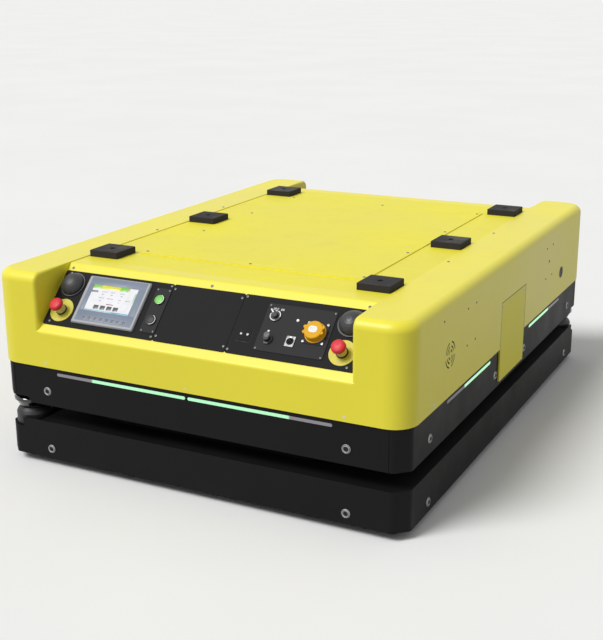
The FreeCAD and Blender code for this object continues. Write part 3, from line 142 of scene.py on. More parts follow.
def plate(bm, place, halfX, halfY, radius, low, high, edge=0.4, index=0, centre=(0.0, 0.0), steps=6):
    # flat plate with rounded corners and a softened top edge
    leastRadius = 0.05
    rings = []
    for inset, level in ((0.0, low), (0.0, high - edge), (edge * 0.3, high - edge * 0.3), (edge, high)):
        outline = roundedOutline(halfX - inset, halfY - inset, max(radius - inset, leastRadius), steps,
                                 centre)
        rings.append(ringOf(bm, place, [(x, y, level) for x, y in outline]))
    for lower, upper in zip(rings, rings[1:]):
        bridge(bm, lower, upper, index)
    capFace(bm, rings[0], index, True)
    capFace(bm, rings[-1], index)


def tile(bm, place, left, right, low, high, base, top, radius=0.4, index=0):
    # thin rounded tile between two heights
    plate(bm, place, (right - left) / 2, (high - low) / 2, radius, base, top, min(0.15, (top - base) * 0.4),
          index, ((left + right) / 2, (low + high) / 2), steps=3)


def bar(bm, place, start, end, stroke, base, top, index=0):
    # printed stroke from start to end
    dx, dy = end[0] - start[0], end[1] - start[1]
    turned = at(place, (start[0] + end[0]) / 2, (start[1] + end[1]) / 2, 0, math.atan2(dy, dx))
    plate(bm, turned, (math.hypot(dx, dy) + stroke) / 2, stroke / 2, stroke * 0.3, base, top, 0.03, index,
          steps=2)


def socketScrew(bm, place, size, domed=True, metal=0, dark=1, segments=24):
    # screw head with a hexagonal socket; size holds head radius, head height, socket half width and depth
    radius, height, socket, depth = size
    angles = [2 * math.pi * i / segments for i in range(segments)]
    hexReach = [socket / math.cos(a % (math.pi / 3) - math.pi / 6) for a in angles]

    def circle(reaches, level):
        return ringOf(bm, place, [(r * math.cos(a), r * math.sin(a), level) for r, a in zip(reaches, angles)])

    crown = height * (0.62 if domed else 0.85)
    shape = ((radius, 0), (radius, crown * 0.6), (radius * 0.93, crown), (radius * 0.75, height * 0.93),
             (socket * 1.35, height))
    rings = [circle([reach] * segments, level) for reach, level in shape]
    rings.append(circle(hexReach, height * 0.98))
    floor = circle([reach * 0.92 for reach in hexReach], height - depth)
    for lower, upper in zip(rings, rings[1:]):
        bridge(bm, lower, upper, metal)
    # the socket's walls and floor take the dark finish, painted shade in the recess
    bridge(bm, rings[-1], floor, dark)
    capFace(bm, floor, dark)
    capFace(bm, rings[0], metal, True)


def nut(bm, place, reach, height, index=0, studIndex=1):
    # hexagon nut with a chamfered top and a threaded stud end
    hexagon = [(reach * math.cos(math.radians(60 * i + 30)), reach * math.sin(math.radians(60 * i + 30)))
               for i in range(6)]
    rings = [ringOf(bm, place, [(x * share, y * share, level) for x, y in hexagon])
             for share, level in ((1.0, 0.0), (1.0, height * 0.85), (0.88, height), (0.62, height))]
    for lower, upper in zip(rings, rings[1:]):
        bridge(bm, lower, upper, index)
    capFace(bm, rings[0], index, True)
    capFace(bm, rings[-1], index)
    stud = [(reach * 0.5, height - seat), (reach * 0.5, height + 2.2), (reach * 0.4, height + 3.0)]
    lathe(bm, place, stud, 24, studIndex)


sharpAngle = math.radians(35.0)


def pieceOf(name, bm, finishNames, body="chassis"):
    # makes a piece of the mesh, with its finishes and its body
    mesh = bpy.data.meshes.new(name)
    bmesh.ops.recalc_face_normals(bm, faces=bm.faces)
    bm.to_mesh(mesh)
    bm.free()
    for finish in finishNames:
        mesh.materials.append(materials[finish])
    piece = bpy.data.objects.new(name, mesh)
    bpy.context.scene.collection.objects.link(piece)
    mesh.shade_smooth()
    mesh.set_sharp_from_angle(angle=sharpAngle)
    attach(piece, body)


# shader helpers, and groups shared by several materials

def link(tree, value, socket):
    # an output is linked to the socket, a constant is set on it
    if isinstance(value, bpy.types.NodeSocket):
        tree.links.new(value, socket)
    else:
        socket.default_value = value


def nodeWith(tree, kind, output, **settings):
    # new node with its inputs set or linked; gives one output
    node = tree.nodes.new(kind)
    for label, value in settings.items():
        link(tree, value, node.inputs[label.replace("_", " ")])
    return node.outputs[output]


def mathNode(tree, operation, *values):
    node = tree.nodes.new("ShaderNodeMath")
    node.operation = operation
    for socket, value in zip(node.inputs, values):
        link(tree, value, socket)
    return node.outputs[0]


def noiseNode(tree, vector, scale, detail, rough):
    return nodeWith(tree, "ShaderNodeTexNoise", "Fac", Vector=vector, Scale=scale, Detail=detail,
                    Roughness=rough)


def rampOf(tree, value, low, high):
    node = tree.nodes.new("ShaderNodeMapRange")
    node.interpolation_type = "SMOOTHSTEP"
    for label, number in (("Value", value), ("From Min", low), ("From Max", high)):
        link(tree, number, node.inputs[label])
    return node.outputs["Result"]


def mixNode(tree, kind, factor, first, second):
    node = tree.nodes.new("ShaderNodeMix")
    node.data_type = kind
    for label, value in (("Factor", factor), ("A", first), ("B", second)):
        link(tree, value, node.inputs[label])
    return node.outputs["Result"]


def mixColour(tree, factor, first, second):
    return mixNode(tree, "RGBA", factor, first, second)


def mixValue(tree, factor, first, second):
    return mixNode(tree, "FLOAT", factor, first, second)


def axisOf(tree, vector, axis):
    return nodeWith(tree, "ShaderNodeSeparateXYZ", axis, Vector=vector)


def newGroup(name, inputs, outputs):
    # group with named sockets; also gives the object's own coordinates, in metres
    group = bpy.data.node_groups.new(name, "ShaderNodeTree")
    for label, value in inputs.items():
        group.interface.new_socket(name=label, in_out="INPUT",
                                   socket_type="NodeSocketFloat").default_value = value
    for label in outputs:
        kind = "NodeSocketVector" if label == "Normal" else "NodeSocketFloat"
        group.interface.new_socket(name=label, in_out="OUTPUT", socket_type=kind)
    source = group.nodes.new("NodeGroupInput")
    target = group.nodes.new("NodeGroupOutput")
    place = group.nodes.new("ShaderNodeTexCoord").outputs["Object"]
    return group, source.outputs, target.inputs, place


def makeGrainGroup():
    # fine moulded or sprayed grain with a slow change of tone under it
    group, given, made, place = newGroup("grain", {"Grain Size": 900.0, "Tone Size": 3.0}, ("Height", "Tone"))
    tone = noiseNode(group, place, given["Tone Size"], 4.0, 0.55)
    link(group, noiseNode(group, place, given["Grain Size"], 3.0, 0.6), made["Height"])
    link(group, rampOf(group, tone, 0.3, 0.7), made["Tone"])
    return group


def makeEdgeGroup():
    # bright worn line along edges, broken up by noise
    group, given, made, place = newGroup("edgeWear", {"Width": 0.002, "Break Size": 60.0}, ("Mask", "Normal"))
    bevel = group.nodes.new("ShaderNodeBevel")
    bevel.samples = 4
    link(group, given["Width"], bevel.inputs["Radius"])
    dot = group.nodes.new("ShaderNodeVectorMath")
    dot.operation = "DOT_PRODUCT"
    link(group, bevel.outputs["Normal"], dot.inputs[0])
    link(group, group.nodes.new("ShaderNodeNewGeometry").outputs["Normal"], dot.inputs[1])
    turn = mathNode(group, "SUBTRACT", 1.0, dot.outputs["Value"])
    broken = noiseNode(group, place, given["Break Size"], 5.0, 0.7)
    worn = mathNode(group, "MULTIPLY", rampOf(group, turn, 0.02, 0.2), rampOf(group, broken, 0.42, 0.66))
    link(group, worn, made["Mask"])
    link(group, bevel.outputs["Normal"], made["Normal"])
    return group


def makeDustGroup():
    # dust that settles on faces that look up, and grime towards the floor
    group, given, made, place = newGroup("dust", {"Floor Reach": 0.16, "Patch Size": 9.0}, ("Dust", "Grime"))
    normal = group.nodes.new("ShaderNodeNewGeometry").outputs["Normal"]
    patches = noiseNode(group, place, given["Patch Size"], 6.0, 0.62)
    facing = rampOf(group, axisOf(group, normal, "Z"), 0.55, 1.0)
    link(group, mathNode(group, "MULTIPLY", facing, rampOf(group, patches, 0.45, 0.75)), made["Dust"])
    height = rampOf(group, axisOf(group, place, "Z"), 0.0, given["Floor Reach"])
    near = mathNode(group, "SUBTRACT", 1.0, height)
    link(group, mathNode(group, "MULTIPLY", near, rampOf(group, patches, 0.35, 0.7)), made["Grime"])
    return group


def makeScratchGroup():
    # short fine scratches in two directions
    group, given, made, place = newGroup("scratches", {"Density": 0.67}, ("Mask",))
    masks = []
    for turn, stretch in (((0.3, 0.2, 0.5), (900, 40, 40)), ((0.1, 0.6, -0.7), (50, 1100, 50))):
        turned = nodeWith(group, "ShaderNodeMapping", "Vector", Vector=place, Rotation=turn, Scale=stretch)
        masks.append(mathNode(group, "GREATER_THAN", noiseNode(group, turned, 1.0, 1.0, 0.4),
                              given["Density"]))
    link(group, mathNode(group, "MAXIMUM", *masks), made["Mask"])
    return group


grainGroup = makeGrainGroup()
edgeGroup = makeEdgeGroup()
dustGroup = makeDustGroup()
scratchGroup = makeScratchGroup()


def setInputs(node, **values):
    # constants on a node's own sockets
    for label, value in values.items():
        node.inputs[label.replace("_", " ")].default_value = value


def useGroup(tree, group, **values):
    node = tree.nodes.new("ShaderNodeGroup")
    node.node_tree = group
    setInputs(node, **values)
    return node


def newMaterial(name):
    material = bpy.data.materials.new(name)
    material.use_nodes = True
    tree = material.node_tree
    return material, tree, tree.nodes["Principled BSDF"]


soilLayers = (("Dust", (178, 172, 160), 0.9), ("Grime", (96, 90, 82), 0.85))  # colour and roughness of each
wornEdgeWidth = 0.0015


def finishOf(name, colour, tone=0.06, rough=0.45, roughSpread=0.08, metallic=0.0, grain=900.0, bump=0.05,
             bumpReach=0.0002, toneSize=3.0, edge=(150, 150, 150), edgeAmount=0.0, dust=0.0, grime=0.0,
             scratch=0.0, coat=0.0, coatRough=0.1, specular=0.5, floorReach=0.16, softEdge=0.0):
    # one painted, moulded, rubber or metal surface: tone, grain, dust, grime, scratches and worn edges
    material, tree, shader = newMaterial(name)
    grainNode = useGroup(tree, grainGroup, Grain_Size=grain, Tone_Size=toneSize)
    base = colourOf(*colour)[:3]
    dark = tuple(c * (1 - tone) for c in base) + (1.0,)
    pale = tuple(min(1.0, c * (1 + tone)) for c in base) + (1.0,)
    surface = mixColour(tree, grainNode.outputs["Tone"], dark, pale)
    roughness = mixValue(tree, grainNode.outputs["Tone"], max(0.02, rough - roughSpread), rough + roughSpread)
    if dust or grime:
        soil = useGroup(tree, dustGroup, Floor_Reach=floorReach)
        for (label, tint, dull), share in zip(soilLayers, (dust, grime)):
            if share:
                amount = mathNode(tree, "MULTIPLY", soil.outputs[label], share)
                surface = mixColour(tree, amount, surface, colourOf(*tint))
                roughness = mixValue(tree, amount, roughness, dull)
    if scratch:
        amount = mathNode(tree, "MULTIPLY", useGroup(tree, scratchGroup).outputs["Mask"], scratch)
        surface = mixColour(tree, amount, surface, pale)
        roughness = mixValue(tree, amount, roughness, min(1.0, rough + 0.25))
    bumpNode = tree.nodes.new("ShaderNodeBump")
    setInputs(bumpNode, Strength=bump, Distance=bumpReach)
    link(tree, grainNode.outputs["Height"], bumpNode.inputs["Height"])
    if edgeAmount or softEdge:
        edgeNode = useGroup(tree, edgeGroup, Width=softEdge or wornEdgeWidth)
        if edgeAmount:
            amount = mathNode(tree, "MULTIPLY", edgeNode.outputs["Mask"], edgeAmount)
            surface = mixColour(tree, amount, surface, colourOf(*edge))
        if softEdge:
            link(tree, edgeNode.outputs["Normal"], bumpNode.inputs["Normal"])
    link(tree, surface, shader.inputs["Base Color"])
    link(tree, roughness, shader.inputs["Roughness"])
    link(tree, bumpNode.outputs["Normal"], shader.inputs["Normal"])
    setInputs(shader, Metallic=metallic, Specular_IOR_Level=specular, Coat_Weight=coat,
              Coat_Roughness=coatRough)
    return material


finishes = {
    "coverYellow": dict(colour=(238, 226, 60), tone=0.025, rough=0.42, roughSpread=0.04, grain=420.0,
                        bump=0.12,
                        bumpReach=0.0003, toneSize=1.7, dust=0.05, grime=0.1, specular=0.45, coat=0.12,
                        coatRough=0.3, floorReach=0.3),
    "deckYellow": dict(colour=(236, 225, 56), tone=0.03, rough=0.5, roughSpread=0.06, grain=700.0, bump=0.12,
                       toneSize=2.2, dust=0.1, scratch=0.12, specular=0.4, softEdge=0.0008),
    "sheetBlack": dict(colour=(22, 22, 22), tone=0.08, rough=0.5, roughSpread=0.07, grain=1500.0, bump=0.25,
                       toneSize=4.0, grime=0.02, edge=(64, 64, 63), edgeAmount=0.15, scratch=0.03,
                       softEdge=0.0012, specular=0.12),
    "slotBlack": dict(colour=(8, 8, 8), tone=0.2, rough=0.8, grain=900.0, bump=0.2, specular=0.15),
    "panelBlack": dict(colour=(41, 41, 42), tone=0.06, rough=0.68, roughSpread=0.05, grain=2200.0, bump=0.2,
                       toneSize=6.0, dust=0.01, edge=(90, 90, 90), edgeAmount=0.2, softEdge=0.0007,
                       specular=0.05),
    "plateBlack": dict(colour=(53, 53, 54), tone=0.05, rough=0.62, roughSpread=0.05, grain=2600.0, bump=0.15,
                       toneSize=9.0, edge=(105, 105, 105), edgeAmount=0.25, softEdge=0.0005, specular=0.07),
    "padRubber": dict(colour=(44, 42, 43), tone=0.1, rough=0.82, roughSpread=0.06, grain=1400.0, bump=0.55,
                      bumpReach=0.0004, toneSize=14.0, dust=0.18, edge=(92, 90, 92), edgeAmount=0.5,
                      specular=0.25, softEdge=0.0012),
    "domeGrey": dict(colour=(50, 50, 52), tone=0.06, rough=0.42, roughSpread=0.05, grain=1300.0, bump=0.2,
                     toneSize=12.0, dust=0.06),
    "bolt": dict(colour=(214, 214, 216), tone=0.06, rough=0.34, roughSpread=0.06, metallic=0.35, grain=3000.0,
                 bump=0.1, toneSize=60.0, scratch=0.2),
    "screwZinc": dict(colour=(142, 142, 144), tone=0.1, rough=0.38, roughSpread=0.06, metallic=0.35,
                      grain=2800.0,
                      bump=0.1, toneSize=60.0),
    "boltDark": dict(colour=(96, 96, 98), tone=0.1, rough=0.4, metallic=0.6, grain=2500.0, toneSize=60.0),
    "castMetal": dict(colour=(138, 138, 139), tone=0.45, rough=0.42, roughSpread=0.1, metallic=0.5,
                      grain=700.0,
                      bump=0.5, toneSize=120.0, edge=(226, 226, 226), edgeAmount=0.5, softEdge=0.0006),
    "brightMetal": dict(colour=(196, 196, 198), tone=0.08, rough=0.34, roughSpread=0.06, metallic=0.6,
                        grain=2500.0,
                        bump=0.08, toneSize=70.0),
    "membrane": dict(colour=(121, 131, 148), tone=0.03, rough=0.4, grain=1800.0, bump=0.08, toneSize=14.0,
                     specular=0.3),
    "keyGrey": dict(colour=(96, 98, 108), tone=0.05, rough=0.45, grain=1800.0, bump=0.1, toneSize=30.0),
    "keyRim": dict(colour=(156, 166, 182), tone=0.04, rough=0.4, grain=1800.0, bump=0.08, toneSize=30.0),
    "markWhite": dict(colour=(236, 236, 236), tone=0.03, rough=0.5, grain=2000.0, bump=0.05, toneSize=40.0),
    "markGrey": dict(colour=(168, 168, 170), tone=0.05, rough=0.5, grain=2000.0, bump=0.05, toneSize=40.0),
    "auxGrey": dict(colour=(92, 92, 94), tone=0.08, rough=0.5, grain=1600.0, bump=0.15, toneSize=30.0),
    # painted shade: the dark finish in screw sockets, washer dishes, grille slot walls, the hatch gaps and under
    # the fuse cover
    "socketShade": dict(colour=(22, 22, 24), tone=0.2, rough=0.6, grain=2500.0, toneSize=60.0),
    "stopRed": dict(colour=(214, 46, 56), tone=0.05, rough=0.42, roughSpread=0.05, grain=1800.0, bump=0.08,
                    toneSize=20.0, coat=0.08, coatRough=0.3, dust=0.03, specular=0.3),
    "stopCream": dict(colour=(214, 200, 118), tone=0.05, rough=0.4, grain=1800.0, bump=0.1, toneSize=30.0),
    "stopDisc": dict(colour=(206, 196, 62), tone=0.12, rough=0.5, grain=1200.0, bump=0.15, toneSize=55.0,
                     dust=0.05),
    "moulding": dict(colour=(24, 24, 25), tone=0.1, rough=0.5, grain=1600.0, bump=0.2, toneSize=20.0,
                     softEdge=0.0005),
    "capOrange": dict(colour=(230, 172, 34), tone=0.06, rough=0.6, specular=0.15, grain=1200.0, bump=0.12,
                      toneSize=22.0, dust=0.02),
    "whitePlastic": dict(colour=(226, 226, 224), tone=0.04, rough=0.45, grain=1600.0, bump=0.1,
                         toneSize=30.0),
    "silver": dict(colour=(138, 139, 142), tone=0.05, rough=0.45, roughSpread=0.05, metallic=0.3,
                   grain=1800.0,
                   bump=0.12, toneSize=12.0, edge=(215, 215, 215), edgeAmount=0.25, softEdge=0.0006),
    "grommet": dict(colour=(40, 36, 32), tone=0.1, rough=0.6, grain=1200.0, bump=0.2, toneSize=30.0),
    "scannerGrey": dict(colour=(26, 26, 27), tone=0.08, rough=0.5, grain=1500.0, bump=0.25, toneSize=14.0,
                        grime=0.1),
    "steelPlate": dict(colour=(70, 72, 74), tone=0.1, rough=0.55, roughSpread=0.1, grain=800.0, bump=0.25,
                       toneSize=7.0, grime=0.4, scratch=0.2, edge=(150, 150, 150), edgeAmount=0.4,
                       floorReach=0.24),
    "girderGrey": dict(colour=(120, 122, 124), tone=0.06, rough=0.5, grain=900.0, bump=0.2, toneSize=6.0,
                       edge=(170, 170, 170), edgeAmount=0.4),
    "batteryCase": dict(colour=(44, 46, 50), tone=0.1, rough=0.55, grain=700.0, bump=0.3, toneSize=9.0,
                        dust=0.12),
    "cabinetGrey": dict(colour=(176, 178, 178), tone=0.05, rough=0.5, grain=1200.0, bump=0.25, toneSize=6.0,
                        dust=0.1, edge=(210, 210, 210), edgeAmount=0.3),
    "castGrey": dict(colour=(128, 130, 132), tone=0.12, rough=0.5, roughSpread=0.1, metallic=0.7, grain=600.0,
                     bump=0.4, toneSize=18.0, grime=0.35, scratch=0.15, floorReach=0.2),
    "motorBlack": dict(colour=(40, 41, 43), tone=0.12, rough=0.5, grain=900.0, bump=0.3, toneSize=15.0,
                       grime=0.35),
    "treadRubber": dict(colour=(46, 45, 44), tone=0.2, rough=0.85, grain=600.0, bump=0.6, bumpReach=0.0005,
                        toneSize=25.0, grime=0.7, specular=0.25),
    "hubGrey": dict(colour=(150, 152, 154), tone=0.08, rough=0.42, metallic=0.8, grain=900.0, bump=0.3,
                    toneSize=20.0, grime=0.3),
    "springRubber": dict(colour=(30, 30, 31), tone=0.15, rough=0.8, grain=900.0, bump=0.4, toneSize=30.0),
    "zinc": dict(colour=(176, 180, 182), tone=0.12, rough=0.36, roughSpread=0.1, metallic=0.9, grain=500.0,
                 bump=0.15, toneSize=35.0, grime=0.35, scratch=0.2),
    "castorTread": dict(colour=(92, 94, 98), tone=0.1, rough=0.6, grain=900.0, bump=0.3, toneSize=24.0,
                        grime=0.6),
    "speakerCone": dict(colour=(26, 26, 27), tone=0.15, rough=0.8, grain=1500.0, bump=0.4, toneSize=40.0),
}
materials = {name: finishOf(name, **values) for name, values in finishes.items()}
print("finishes:", len(materials))


def plainShader(name, roughness, specular=0.5):
    # smooth shader whose roughness changes slightly
    material, tree, shader = newMaterial(name)
    tone = useGroup(tree, grainGroup, Grain_Size=1500.0, Tone_Size=40.0).outputs["Tone"]
    link(tree, mixValue(tree, tone, roughness * 0.85, roughness * 1.15), shader.inputs["Roughness"])
    shader.inputs["Specular IOR Level"].default_value = specular
    return material, tree, shader, tone


barValues = dict(ends={"X": (0.315, 0.322), "Y": (0.43, 0.44)}, lampPitch=0.0167, strength=0.86,
                 lit=(194, 255, 208), between=(186, 252, 202), unlit=(150, 145, 150), tint=(60, 110, 76))


def makeLightBar(name, axis):
    # diffuser of a light strip: lit green near the middle of the body, unlit grey at its outer end
    values = barValues
    material, tree, shader, tone = plainShader(name, 0.35)
    along = axisOf(tree, tree.nodes.new("ShaderNodeTexCoord").outputs["Object"], axis)
    unlit = rampOf(tree, mathNode(tree, "ABSOLUTE", along), *values["ends"][axis])
    # the single lamps show faintly through the diffuser
    wave = mathNode(tree, "SINE", mathNode(tree, "MULTIPLY", along, 2 * math.pi / values["lampPitch"]))
    lit = mixColour(tree, rampOf(tree, wave, -1.0, 1.0), colourOf(*values["between"]),
                    colourOf(*values["lit"]))
    link(tree, mixColour(tree, unlit, colourOf(*values["tint"]), colourOf(*values["unlit"])),
         shader.inputs["Base Color"])
    link(tree, mixColour(tree, unlit, lit, colourOf(0, 0, 0)), shader.inputs["Emission Color"])
    shader.inputs["Emission Strength"].default_value = values["strength"]
    return material


def makeGlow(name, colour, strength, roughness=0.3, base=None):
    # lit surface; its base colour is a dark shade of the glow where none is given
    material, tree, shader, tone = plainShader(name, roughness)
    full = colourOf(*colour)
    shade = mixColour(tree, tone, tuple(c * 0.94 for c in full[:3]) + (1.0,), full)
    link(tree, shade, shader.inputs["Emission Color"])
    link(tree, colourOf(*base) if base else mixColour(tree, 0.75, shade, colourOf(0, 0, 0)),
         shader.inputs["Base Color"])
    shader.inputs["Emission Strength"].default_value = strength
    return material


def makeScannerGlass():
    # dark smoked window that a scanning beam leaves through
    material, tree, shader, tone = plainShader("scannerGlass", 0.12, 0.7)
    link(tree, mixColour(tree, tone, colourOf(8, 8, 10), colourOf(20, 17, 22)), shader.inputs["Base Color"])
    setInputs(shader, Coat_Weight=0.6, Coat_Roughness=0.06)
    return material


glows = {
    "lensGreen": dict(colour=(110, 190, 80), strength=0.3, roughness=0.35, base=(104, 176, 72)),
    "lampWhite": dict(colour=(240, 240, 238), strength=0.4, base=(236, 236, 234)),
    "screenWhite": dict(colour=(236, 236, 240), strength=0.72),
    "screenGreen": dict(colour=(120, 204, 60), strength=0.75),
    "screenYellow": dict(colour=(222, 218, 60), strength=0.75),
    "screenTile": dict(colour=(92, 92, 98), strength=0.6),
    "screenLine": dict(colour=(188, 188, 194), strength=0.7),
    "screenRose": dict(colour=(160, 104, 112), strength=0.7),
    "screenPale": dict(colour=(176, 214, 186), strength=0.7),
    "screenLeaf": dict(colour=(140, 200, 92), strength=0.75),
    "screenOlive": dict(colour=(176, 190, 74), strength=0.75),
    "screenLabel": dict(colour=(128, 130, 134), strength=0.7),
    "screenMark": dict(colour=(150, 152, 166), strength=0.7),
    "screenSky": dict(colour=(96, 178, 214), strength=0.7),
    "screenMist": dict(colour=(150, 200, 216), strength=0.7),
}
materials["barEnd"] = makeLightBar("barEnd", "X")
materials["barSide"] = makeLightBar("barSide", "Y")
materials["scannerGlass"] = makeScannerGlass()
for name, values in glows.items():
    materials[name] = makeGlow(name, **values)


# finishes of the CAD nodes

def paint(node, names, choose=None):
    # choose(face centre in metres, face normal) picks one of the finishes for each face
    target = nodes[node]
    target.data.materials.clear()
    for name in names:
        target.data.materials.append(materials[name])
    if choose:
        for face in target.data.polygons:
            face.material_index = choose(face.center, face.normal)


def onSlope(point):
    # millimetres across, up and proud of the slope, for either end of the body
    slope = frontSlope if point.y < 0 else rearSlope
    return (slope.inverted() @ point) / mm


def flatReach(point, middle):
    return math.hypot(point.x - middle.x, point.y - middle.y)


plainNodes = {
    "deckYellow": "deck_plate lid_plate side_hatch_left side_hatch_right", "slotBlack": "slot_wall",
    "sheetBlack": "band_front band_rear band_left band_right lower_skirt", "steelPlate": "base_plate",
    "girderGrey": "girders bulkheads", "padRubber": "load_pads", "plateBlack": "button_plate connector_plate",
    "panelBlack": "panel_left panel_centre panel_right panel_rear", "domeGrey": "antenna_domes",
    "moulding": "switch_base reset_button", "lensGreen": "start_button", "grommet": "port_grommets",
    "scannerGrey": "scanner_bodies", "scannerGlass": "scanner_windows", "batteryCase": "battery_pack",
    "speakerCone": "speakers", "zinc": "running_gear_mounts", "screenWhite": "hmi_screen",
    "springRubber": "drive_spring_left drive_spring_right",
}
for name, held in plainNodes.items():
    for node in held.split():
        paint(node, [name])
corners = ("front_left", "front_right", "rear_left", "rear_right")
stops = [middleOf("estop_head_" + corner,
                  frontSlope if "front" in corner else rearSlope) for corner in corners]
# millimetres that part one finish from the next
finishEdges = dict(sheet=3.0, stopCollar=17.2, stopSeal=8.1, castorTread=14.5, driveTread=14.2, armPlate=24.5,
                   armCasting=84.5, bezelLow=5.05, flangeLow=5.0, flangeTop=7.2, capRim=1.2, lever=11.0,
                   dataSide=30.0, cabinetFins=24.0, endStrip=460.0, bandDepth=8.0, grilleReach=45.0,
                   coverWall=2.0)
sheetFace = finishEdges["sheet"] - 0.1


def stopFinish(centre, normal):
    # yellow disc, cream collar, and black below the panel and under the collar
    point = onSlope(centre)
    if point.z < sheetFace:
        return 2
    if min(flatReach(point, middle) for middle in stops) > finishEdges["stopCollar"]:
        return 0
    return 2 if point.z < finishEdges["stopSeal"] else 1


def paintWheel(node, tread, depth):
    # tread outside, hub inside
    axle = middleOf(node, upright)
    reach = (spanOf(node, upright)[1] - axle).z - depth
    paint(node, [tread, "hubGrey"],
          lambda centre, normal: 0 if math.hypot(centre.y / mm - axle.y,
                                                 centre.z / mm - axle.z) > reach else 1)


def paintArm(node):
    # bearing plate, gearbox casting and motor, from the outside in
    outer = max(abs(end.x) for end in spanOf(node, upright))
    plateEdge, castingEdge = outer - finishEdges["armPlate"], outer - finishEdges["armCasting"]
    paint(node, ["steelPlate", "castGrey", "motorBlack"],
          lambda centre, normal: sum(abs(centre.x) / mm <= edge for edge in (plateEdge, castingEdge)))


def paintAbove(node, names, level):
    # first finish above a level over the slope, second finish below it
    paint(node, names, lambda centre, normal: 0 if onSlope(centre).z > level else 1)


for corner in corners:
    paint("estop_head_" + corner, ["stopRed"])
    paint("castor_fork_" + corner, ["zinc"])
    paintWheel("castor_wheel_" + corner, "castorTread", finishEdges["castorTread"])
for side in ("left", "right"):
    paintWheel("drive_wheel_" + side, "treadRubber", finishEdges["driveTread"])
    paintArm("drive_arm_" + side)
paint("estop_bases", ["stopDisc", "stopCream", "moulding"], stopFinish)
paintAbove("button_bodies", ["boltDark", "moulding"], finishEdges["bezelLow"])
paintAbove("hmi_housing", ["silver", "moulding"], sheetFace)
capRim = spanOf("socket_cap", frontSlope)[0].z + finishEdges["capRim"]
paint("socket_cap", ["capOrange", "whitePlastic"], lambda centre,
      normal: 1 if onSlope(centre).z < capRim else 0)
paint("power_socket", ["plateBlack", "moulding"], lambda centre, normal:
      0 if finishEdges["flangeLow"] <= onSlope(centre).z <= finishEdges["flangeTop"] else 1)
switchMiddle = middleOf("switch_base", frontSlope)
paint("switch_knob", ["moulding", "markWhite"], lambda centre, normal:
      1 if flatReach(onSlope(centre), switchMiddle) > finishEdges["lever"] else 0)
dataX = middleOf("connector_plate", frontSlope).x - finishEdges["dataSide"]
paint("panel_sockets", ["castMetal", "moulding"], lambda centre,
      normal: 0 if onSlope(centre).x > dataX else 1)
paint("light_strips", ["barEnd", "barSide"], lambda centre, normal:
      0 if abs(centre.x) / mm < finishEdges["endStrip"] else 1)
cabinetTop = spanOf("control_cabinet", upright)[1].z - finishEdges["cabinetFins"]
paint("control_cabinet", ["cabinetGrey", "castGrey"], lambda centre,
      normal: 1 if centre.z / mm > cabinetTop else 0)
bandLow, bandHigh = spanOf("band_right", upright)


def islandMiddles(node):
    # middles of a node's separate solids, in millimetres
    mesh = nodes[node].data
    owner = list(range(len(mesh.vertices)))

    def root(i):
        while owner[i] != i:
            owner[i] = owner[owner[i]]
            i = owner[i]
        return i

    for face in mesh.polygons:
        first = root(face.vertices[0])
        for vertex in face.vertices[1:]:
            owner[root(vertex)] = first
    islands = {}
    for i, vertex in enumerate(mesh.vertices):
        islands.setdefault(root(i), []).append(vertex.co)
    return [sum(points, Vector()) / len(points) / mm for points in islands.values()]


def onSide(point):
    # whether a point, in millimetres, lies by a side wall and not by an end wall
    return abs(abs(point.x) - bandHigh.x) < finishEdges["bandDepth"]


boltMiddles = islandMiddles("trim_bolts")
# finish 1 is painted shade in the cup washer's dish and the bolt's socket, finish 0 the bright steel
boltRings = ((4.4, 1), (7.4, 0), (10.6, 1), (99.0, 0))  # outer radius of each ring, and its finish


def boltFinish(centre, normal):
    point = centre / mm
    apart = min((middle - point for middle in boltMiddles), key=lambda gap: gap.length)
    flat = math.hypot(apart.y if onSide(point) else apart.x, apart.z)
    return next(finish for radius, finish in boltRings if flat < radius)


paint("trim_bolts", ["bolt", "socketShade"], boltFinish)


def speakerMiddle(side):
    # middle of one side's speaker, along the body and up
    points = [v.co / mm for v in nodes["speakers"].data.vertices if v.co.x * side > 0]
    return [(min(p[i] for p in points) + max(p[i] for p in points)) / 2 for i in (1, 2)]


grilles = {side: speakerMiddle(side) for side in (-1, 1)}


def coverFinish(centre, normal):
    # the walls of the grille slots get painted shade, the rest is yellow
    y, z = grilles[1 if centre.x > 0 else -1]
    inWall = abs(centre.x) / mm > bandHigh.x - finishEdges["coverWall"] and abs(normal.x) < 0.5
    return 1 if inWall and math.hypot(centre.y / mm - y,
                                      centre.z / mm - z) < finishEdges["grilleReach"] else 0


paint("body_cover", ["coverYellow", "socketShade"], coverFinish)
print("CAD finishes set")


# trim bolts: rims of their cup washers

washerRim = dict(inner=9.3, outer=12.4, proud=1.6, width=1.2, boltGap=15.0)


def washerRims():
    # broad rims, bright round a dish in painted shade
    values = washerRim
    skirtHigh = spanOf("lower_skirt", upright)[1]
    bandEnd = spanOf("band_rear", upright)[1].y
    inner, outer, proud, step = values["inner"], values["outer"], values["proud"], values["outer"] - values["width"]
    rim = [(step, -seat), (outer, -seat), (outer, proud * 0.6), (outer - 0.5, proud), (step + 0.3, proud),
           (step, proud * 0.8)]
    dish = [(inner, -seat), (step, -seat), (step, proud * 0.5), (inner, proud * 0.35)]
    placed = []
    bm = bmesh.new()
    for middle in boltMiddles:
        # a bolt and its washer share one rim
        if any((middle - other).length < values["boltGap"] for other in placed):
            continue
        placed.append(middle)
        onBand = middle.z > bandLow.z
        if onSide(middle):
            side = math.copysign(1, middle.x)
            place = at(sideWalls[side], side * middle.y, middle.z, bandHigh.x if onBand else skirtHigh.x)
        else:
            end = math.copysign(1, middle.y)
            place = at(endWalls[end], -end * middle.x, middle.z, bandEnd if onBand else skirtHigh.y)
        ringLathe(bm, place, rim, 40, 0)
        ringLathe(bm, place, dish, 40, 1)
    pieceOf("washerRims", bm, ["bolt", "socketShade"])


# small screws; each screw's tuple holds head radius, head height, socket half width and depth

